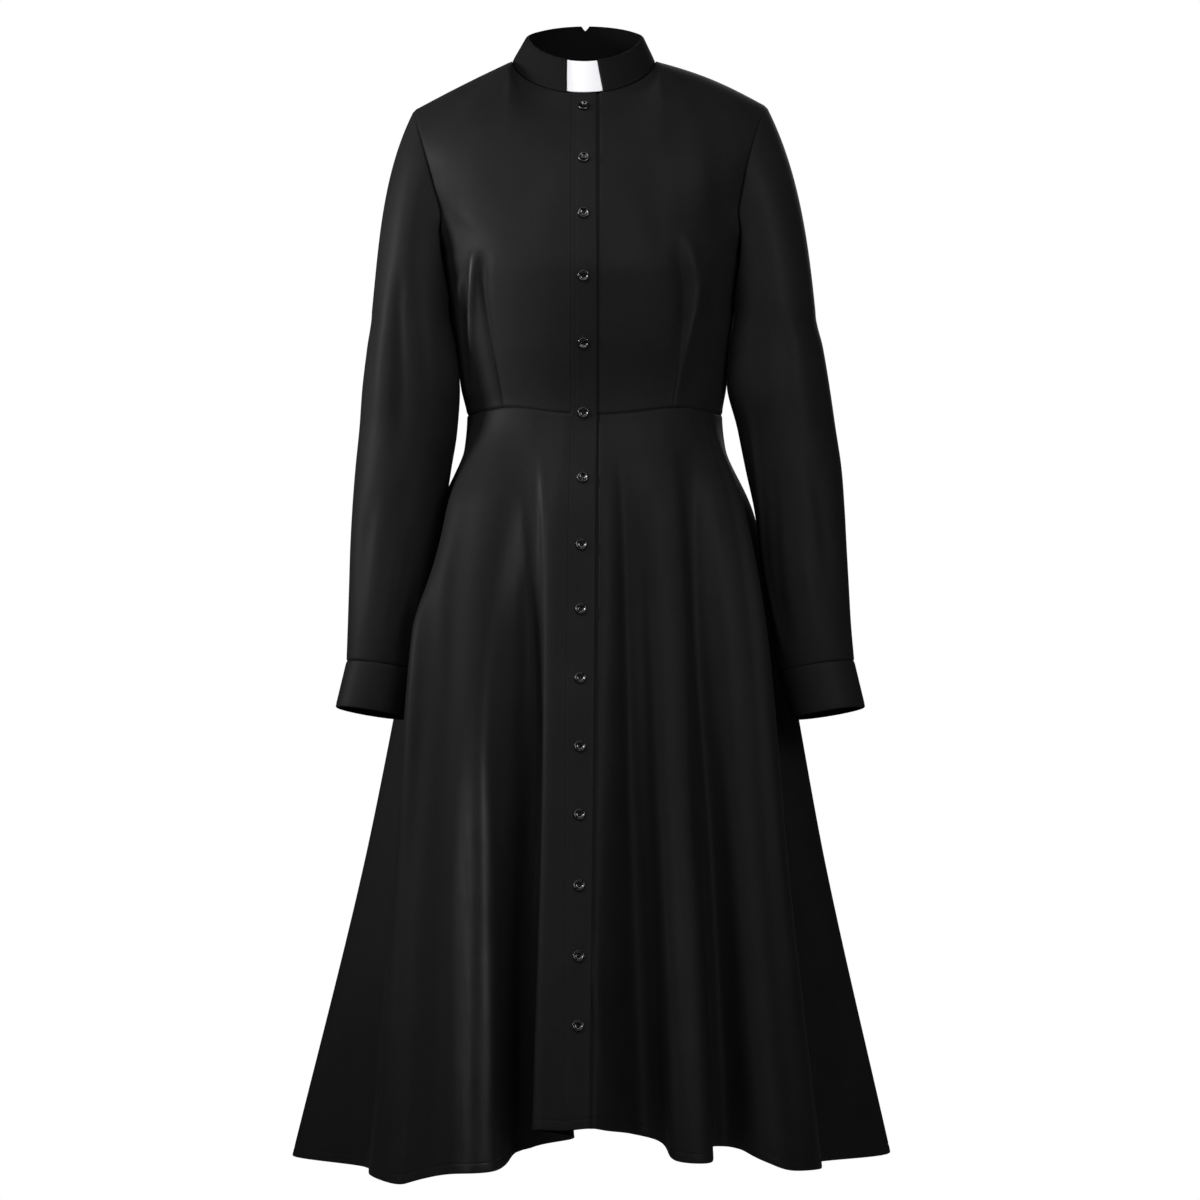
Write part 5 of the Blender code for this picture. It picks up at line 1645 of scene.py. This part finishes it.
class CLERGY_OT_buttons(Operator):
    """Make the buttons with their thread and buttonholes"""
    bl_idname = "clergy_dress.buttons"
    bl_label = "Buttons"

    def execute(self, context):
        sewing, buttons = context.scene.dress_sewing, context.scene.dress_buttons
        gloss = finish_once("button_resin", button_finish, buttons)
        thread = finish_once("sewing_thread", thread_finish, sewing)
        tree = set_tree()
        cuffs = [np.array(rows) for rows in zip(cuff_seat(RIGHT_SLEEVE[-1], RIGHT_CUFF_END),
                                                cuff_seat(LEFT_SLEEVE[-1], LEFT_CUFF_END))]
        models = (("buttons", button_model(), gloss, 0.0, buttons.spin),
                  ("button_threads", thread_model(), thread, 0.0, buttons.spin),
                  ("buttonholes", buttonhole_model(sewing.buttonhole), thread, -WELT_SINK, 0.0))
        front_nodes = ["button_%02d" % (number + 1) for number in range(len(BUTTON_HEIGHTS))]
        groups = (("", button_seats(), front_nodes),
                  ("cuff_", cuffs, ["cuff_button_right", "cuff_button_left"]))
        for name, model, finish, lift, spin in models:
            for place, (points, ways, ups), nodes in groups:
                spots = points_object(name + "_points", points + ways * lift,
                                      vectors={"facing": ways, "upward": ups})
                made = grow(spots, tree, place + name, {"Piece": model, "Size": buttons.size, "Spin": spin,
                                                        "Seed": buttons.seed, "Finish": finish})
                slot, stood_for = ("buttons", nodes) if name == "buttons" else ("crepe", ())
                dressed(made, finish, stood_for)
            bpy.data.objects.remove(model, do_unlink=True)
        return {"FINISHED"}


class CLERGY_OT_sewing(Operator):
    """Make the lines of stitches along the placket, hem, collar and cuffs"""
    bl_idname = "clergy_dress.sewing"
    bl_label = "Stitches"

    def execute(self, context):
        sewing = context.scene.dress_sewing
        finish = finish_once("sewing_thread", thread_finish, sewing)
        tree = stitch_tree()
        for number, (name, lines) in enumerate(STITCH_LINES):
            points, edges = sewn_lines([sewn_line(*line, sewing.seat) for line in lines])
            run = points_object("line_" + name, points, edges)
            made = grow(run, tree, "stitches_" + name, {
                "Pitch": sewing.pitch, "Stitch": sewing.stitch, "Thread": sewing.thread,
                "Wobble": STITCH_LEAN, "Seed": STITCH_SEED + number, "Finish": finish})
            dressed(made, finish, ())
        return {"FINISHED"}


# Studio lights: place, the spot that they face, width and height, spread in degrees, and colour
STUDIO_LIGHTS = (
    ("key", (-1.2, -1.6, 0.9), (0.0, 0.0, -0.3), (1.0, 1.1), 120, (1.0, 0.985, 1.03)),
    ("side", (-1.7, -1.4, 0.1), (0.0, 0.0, -0.3), (0.5, 1.9), 120, (1.0, 0.985, 1.03)),
    ("top", (-0.2, -1.5, 1.4), (0.0, 0.0, -0.3), (1.5, 1.1), 120, (1.0, 0.985, 1.03)),
    ("fill", (1.0, -2.2, 0.4), (0.06, 0.0, -0.2), (1.0, 1.0), 70, (0.98, 0.98, 1.0)),
    ("wall", (1.9, -1.7, -0.1), (0.0, 0.0, -0.3), (0.6, 1.9), 120, (0.98, 0.98, 1.0)),
    ("back", (0.5, 2.4, 0.7), (0.0, 0.0, -0.4), (1.6, 1.6), 120, (1.0, 1.0, 1.0)),
    ("rim", (-2.0, -0.2, 0.15), (0.0, 0.0, -0.15), (0.4, 0.9), 50, (1.0, 1.0, 1.0)),
)

# The room's light and what the camera sees of it, and the floor
ROOM_COLOUR = (0.97, 0.98, 1.0, 1.0)
PLAIN_WHITE = (1.0, 1.0, 1.0, 1.0)
FLOOR_SIDES = 96
FLOOR_COLOURS = ((0.80, 0.80, 0.80, 1.0), (0.84, 0.84, 0.84, 1.0))

# The camera: where it stands and how far it sees, in metres, and its lens and sensor, in mm
CAMERA_PLACE = (0.0126, -3.5, -0.563)
CAMERA_REACH = 60
CAMERA_LENS = 100
CAMERA_SENSOR = 36


def soft_light(name, place, aim, size, spread, power, colour):
    """A rectangular light aimed at a spot, its beam narrowed to the spread in degrees."""
    lamp = bpy.data.lights.new(name, "AREA")
    lamp.shape = "RECTANGLE"
    lamp.size, lamp.size_y = size
    lamp.spread = math.radians(spread)
    lamp.energy = power
    lamp.color = colour
    thing = placed(name, lamp)
    thing.location = place
    thing.rotation_euler = (Vector(aim) - Vector(place)).to_track_quat("-Z", "Y").to_euler()


def white_room(strength):
    """A world that lights softly and that the camera sees as plain white."""
    world = bpy.data.worlds.new("white_room")
    world.use_nodes = True
    tree = Tree(world.node_tree)
    tree.tree.nodes.clear()
    seen = tree.node("ShaderNodeLightPath", "Is Camera Ray")
    light = tree.node("ShaderNodeBackground", inputs={"Color": ROOM_COLOUR, "Strength": strength})
    plain = tree.node("ShaderNodeBackground", inputs={"Color": PLAIN_WHITE, "Strength": 1.0})
    both = tree.node("ShaderNodeMixShader", inputs={0: seen, 1: light, 2: plain})
    shown = tree.tree.nodes.new("ShaderNodeOutputWorld")
    tree.feed(shown.inputs["Surface"], both)
    bpy.context.scene.world = world


def pale_floor(drop, radius):
    """A round pale floor, some way below the hem."""
    mesh = bpy.data.meshes.new("floor")
    build = bmesh.new()
    bmesh.ops.create_circle(build, cap_ends=True, segments=FLOOR_SIDES, radius=radius)
    build.to_mesh(mesh)
    build.free()
    height = CAD_BOX[0][2] - drop
    for vertex in mesh.vertices:
        vertex.co.z = height
    floor = placed("floor", mesh)
    made = Finish("floor", Specular_IOR_Level=0.2)
    grain = made.noise(made.solid, scale=90.0, detail=3.0)
    colour = made.mix(grain, *FLOOR_COLOURS)
    made.look(colour, 0.6 + grain * 0.1, grain, strength=0.05, distance=1 * MM)
    mesh.materials.append(made.material)


class CLERGY_OT_stage(Operator):
    """Make the pale floor, the soft lights and the camera"""
    bl_idname = "clergy_dress.stage"
    bl_label = "Studio"

    def execute(self, context):
        stage = context.scene.dress_stage
        pale_floor(stage.drop, stage.radius)
        white_room(stage.sky)
        for name, place, aim, size, spread, colour in STUDIO_LIGHTS:
            soft_light(name, place, aim, size, spread, getattr(stage, name), colour)
        camera = bpy.data.cameras.new("camera")
        camera.lens = CAMERA_LENS
        camera.sensor_width = CAMERA_SENSOR
        camera.clip_end = CAMERA_REACH
        thing = placed("camera", camera)
        thing.location = CAMERA_PLACE
        thing.rotation_euler = (math.pi / 2, 0, 0)
        context.scene.camera = thing
        context.scene.view_settings.view_transform = "Standard"
        return {"FINISHED"}


OPERATORS = (CLERGY_OT_bodice, CLERGY_OT_sleeves, CLERGY_OT_collar, CLERGY_OT_skirt, CLERGY_OT_buttons,
             CLERGY_OT_sewing, CLERGY_OT_stage)
GROUPS = (("dress_cloth", DressCloth), ("dress_sewing", DressSewing), ("dress_buttons", DressButtons),
          ("dress_stage", DressStage))


class CLERGY_PT_panel(Panel):
    """Lists the dress's pieces and sizes"""
    bl_idname = "CLERGY_PT_panel"
    bl_label = "Clergy dress"
    bl_space_type = "VIEW_3D"
    bl_region_type = "UI"
    bl_category = "Clergy dress"

    def draw(self, context):
        for operator in OPERATORS:
            self.layout.operator(operator.bl_idname)
        for name, group in GROUPS:
            box = self.layout.box()
            for label in group.__annotations__:
                box.prop(getattr(context.scene, name), label)


def register():
    """Adds the sizes, the operators and the panel to Blender."""
    for kind in [group for _, group in GROUPS] + list(OPERATORS) + [CLERGY_PT_panel]:
        bpy.utils.register_class(kind)
    for name, group in GROUPS:
        setattr(bpy.types.Scene, name, PointerProperty(type=group))


def unregister():
    """Takes them out again."""
    for name, _ in GROUPS:
        delattr(bpy.types.Scene, name)
    for kind in [CLERGY_PT_panel] + list(OPERATORS[::-1]) + [group for _, group in GROUPS[::-1]]:
        bpy.utils.unregister_class(kind)


def main():
    """Makes every piece and the studio."""
    register()
    bpy.ops.clergy_dress.bodice()
    bpy.ops.clergy_dress.sleeves()
    bpy.ops.clergy_dress.collar()
    bpy.ops.clergy_dress.skirt()
    bpy.ops.clergy_dress.buttons()
    bpy.ops.clergy_dress.sewing()
    bpy.ops.clergy_dress.stage()


if __name__ == "__main__":
    main()
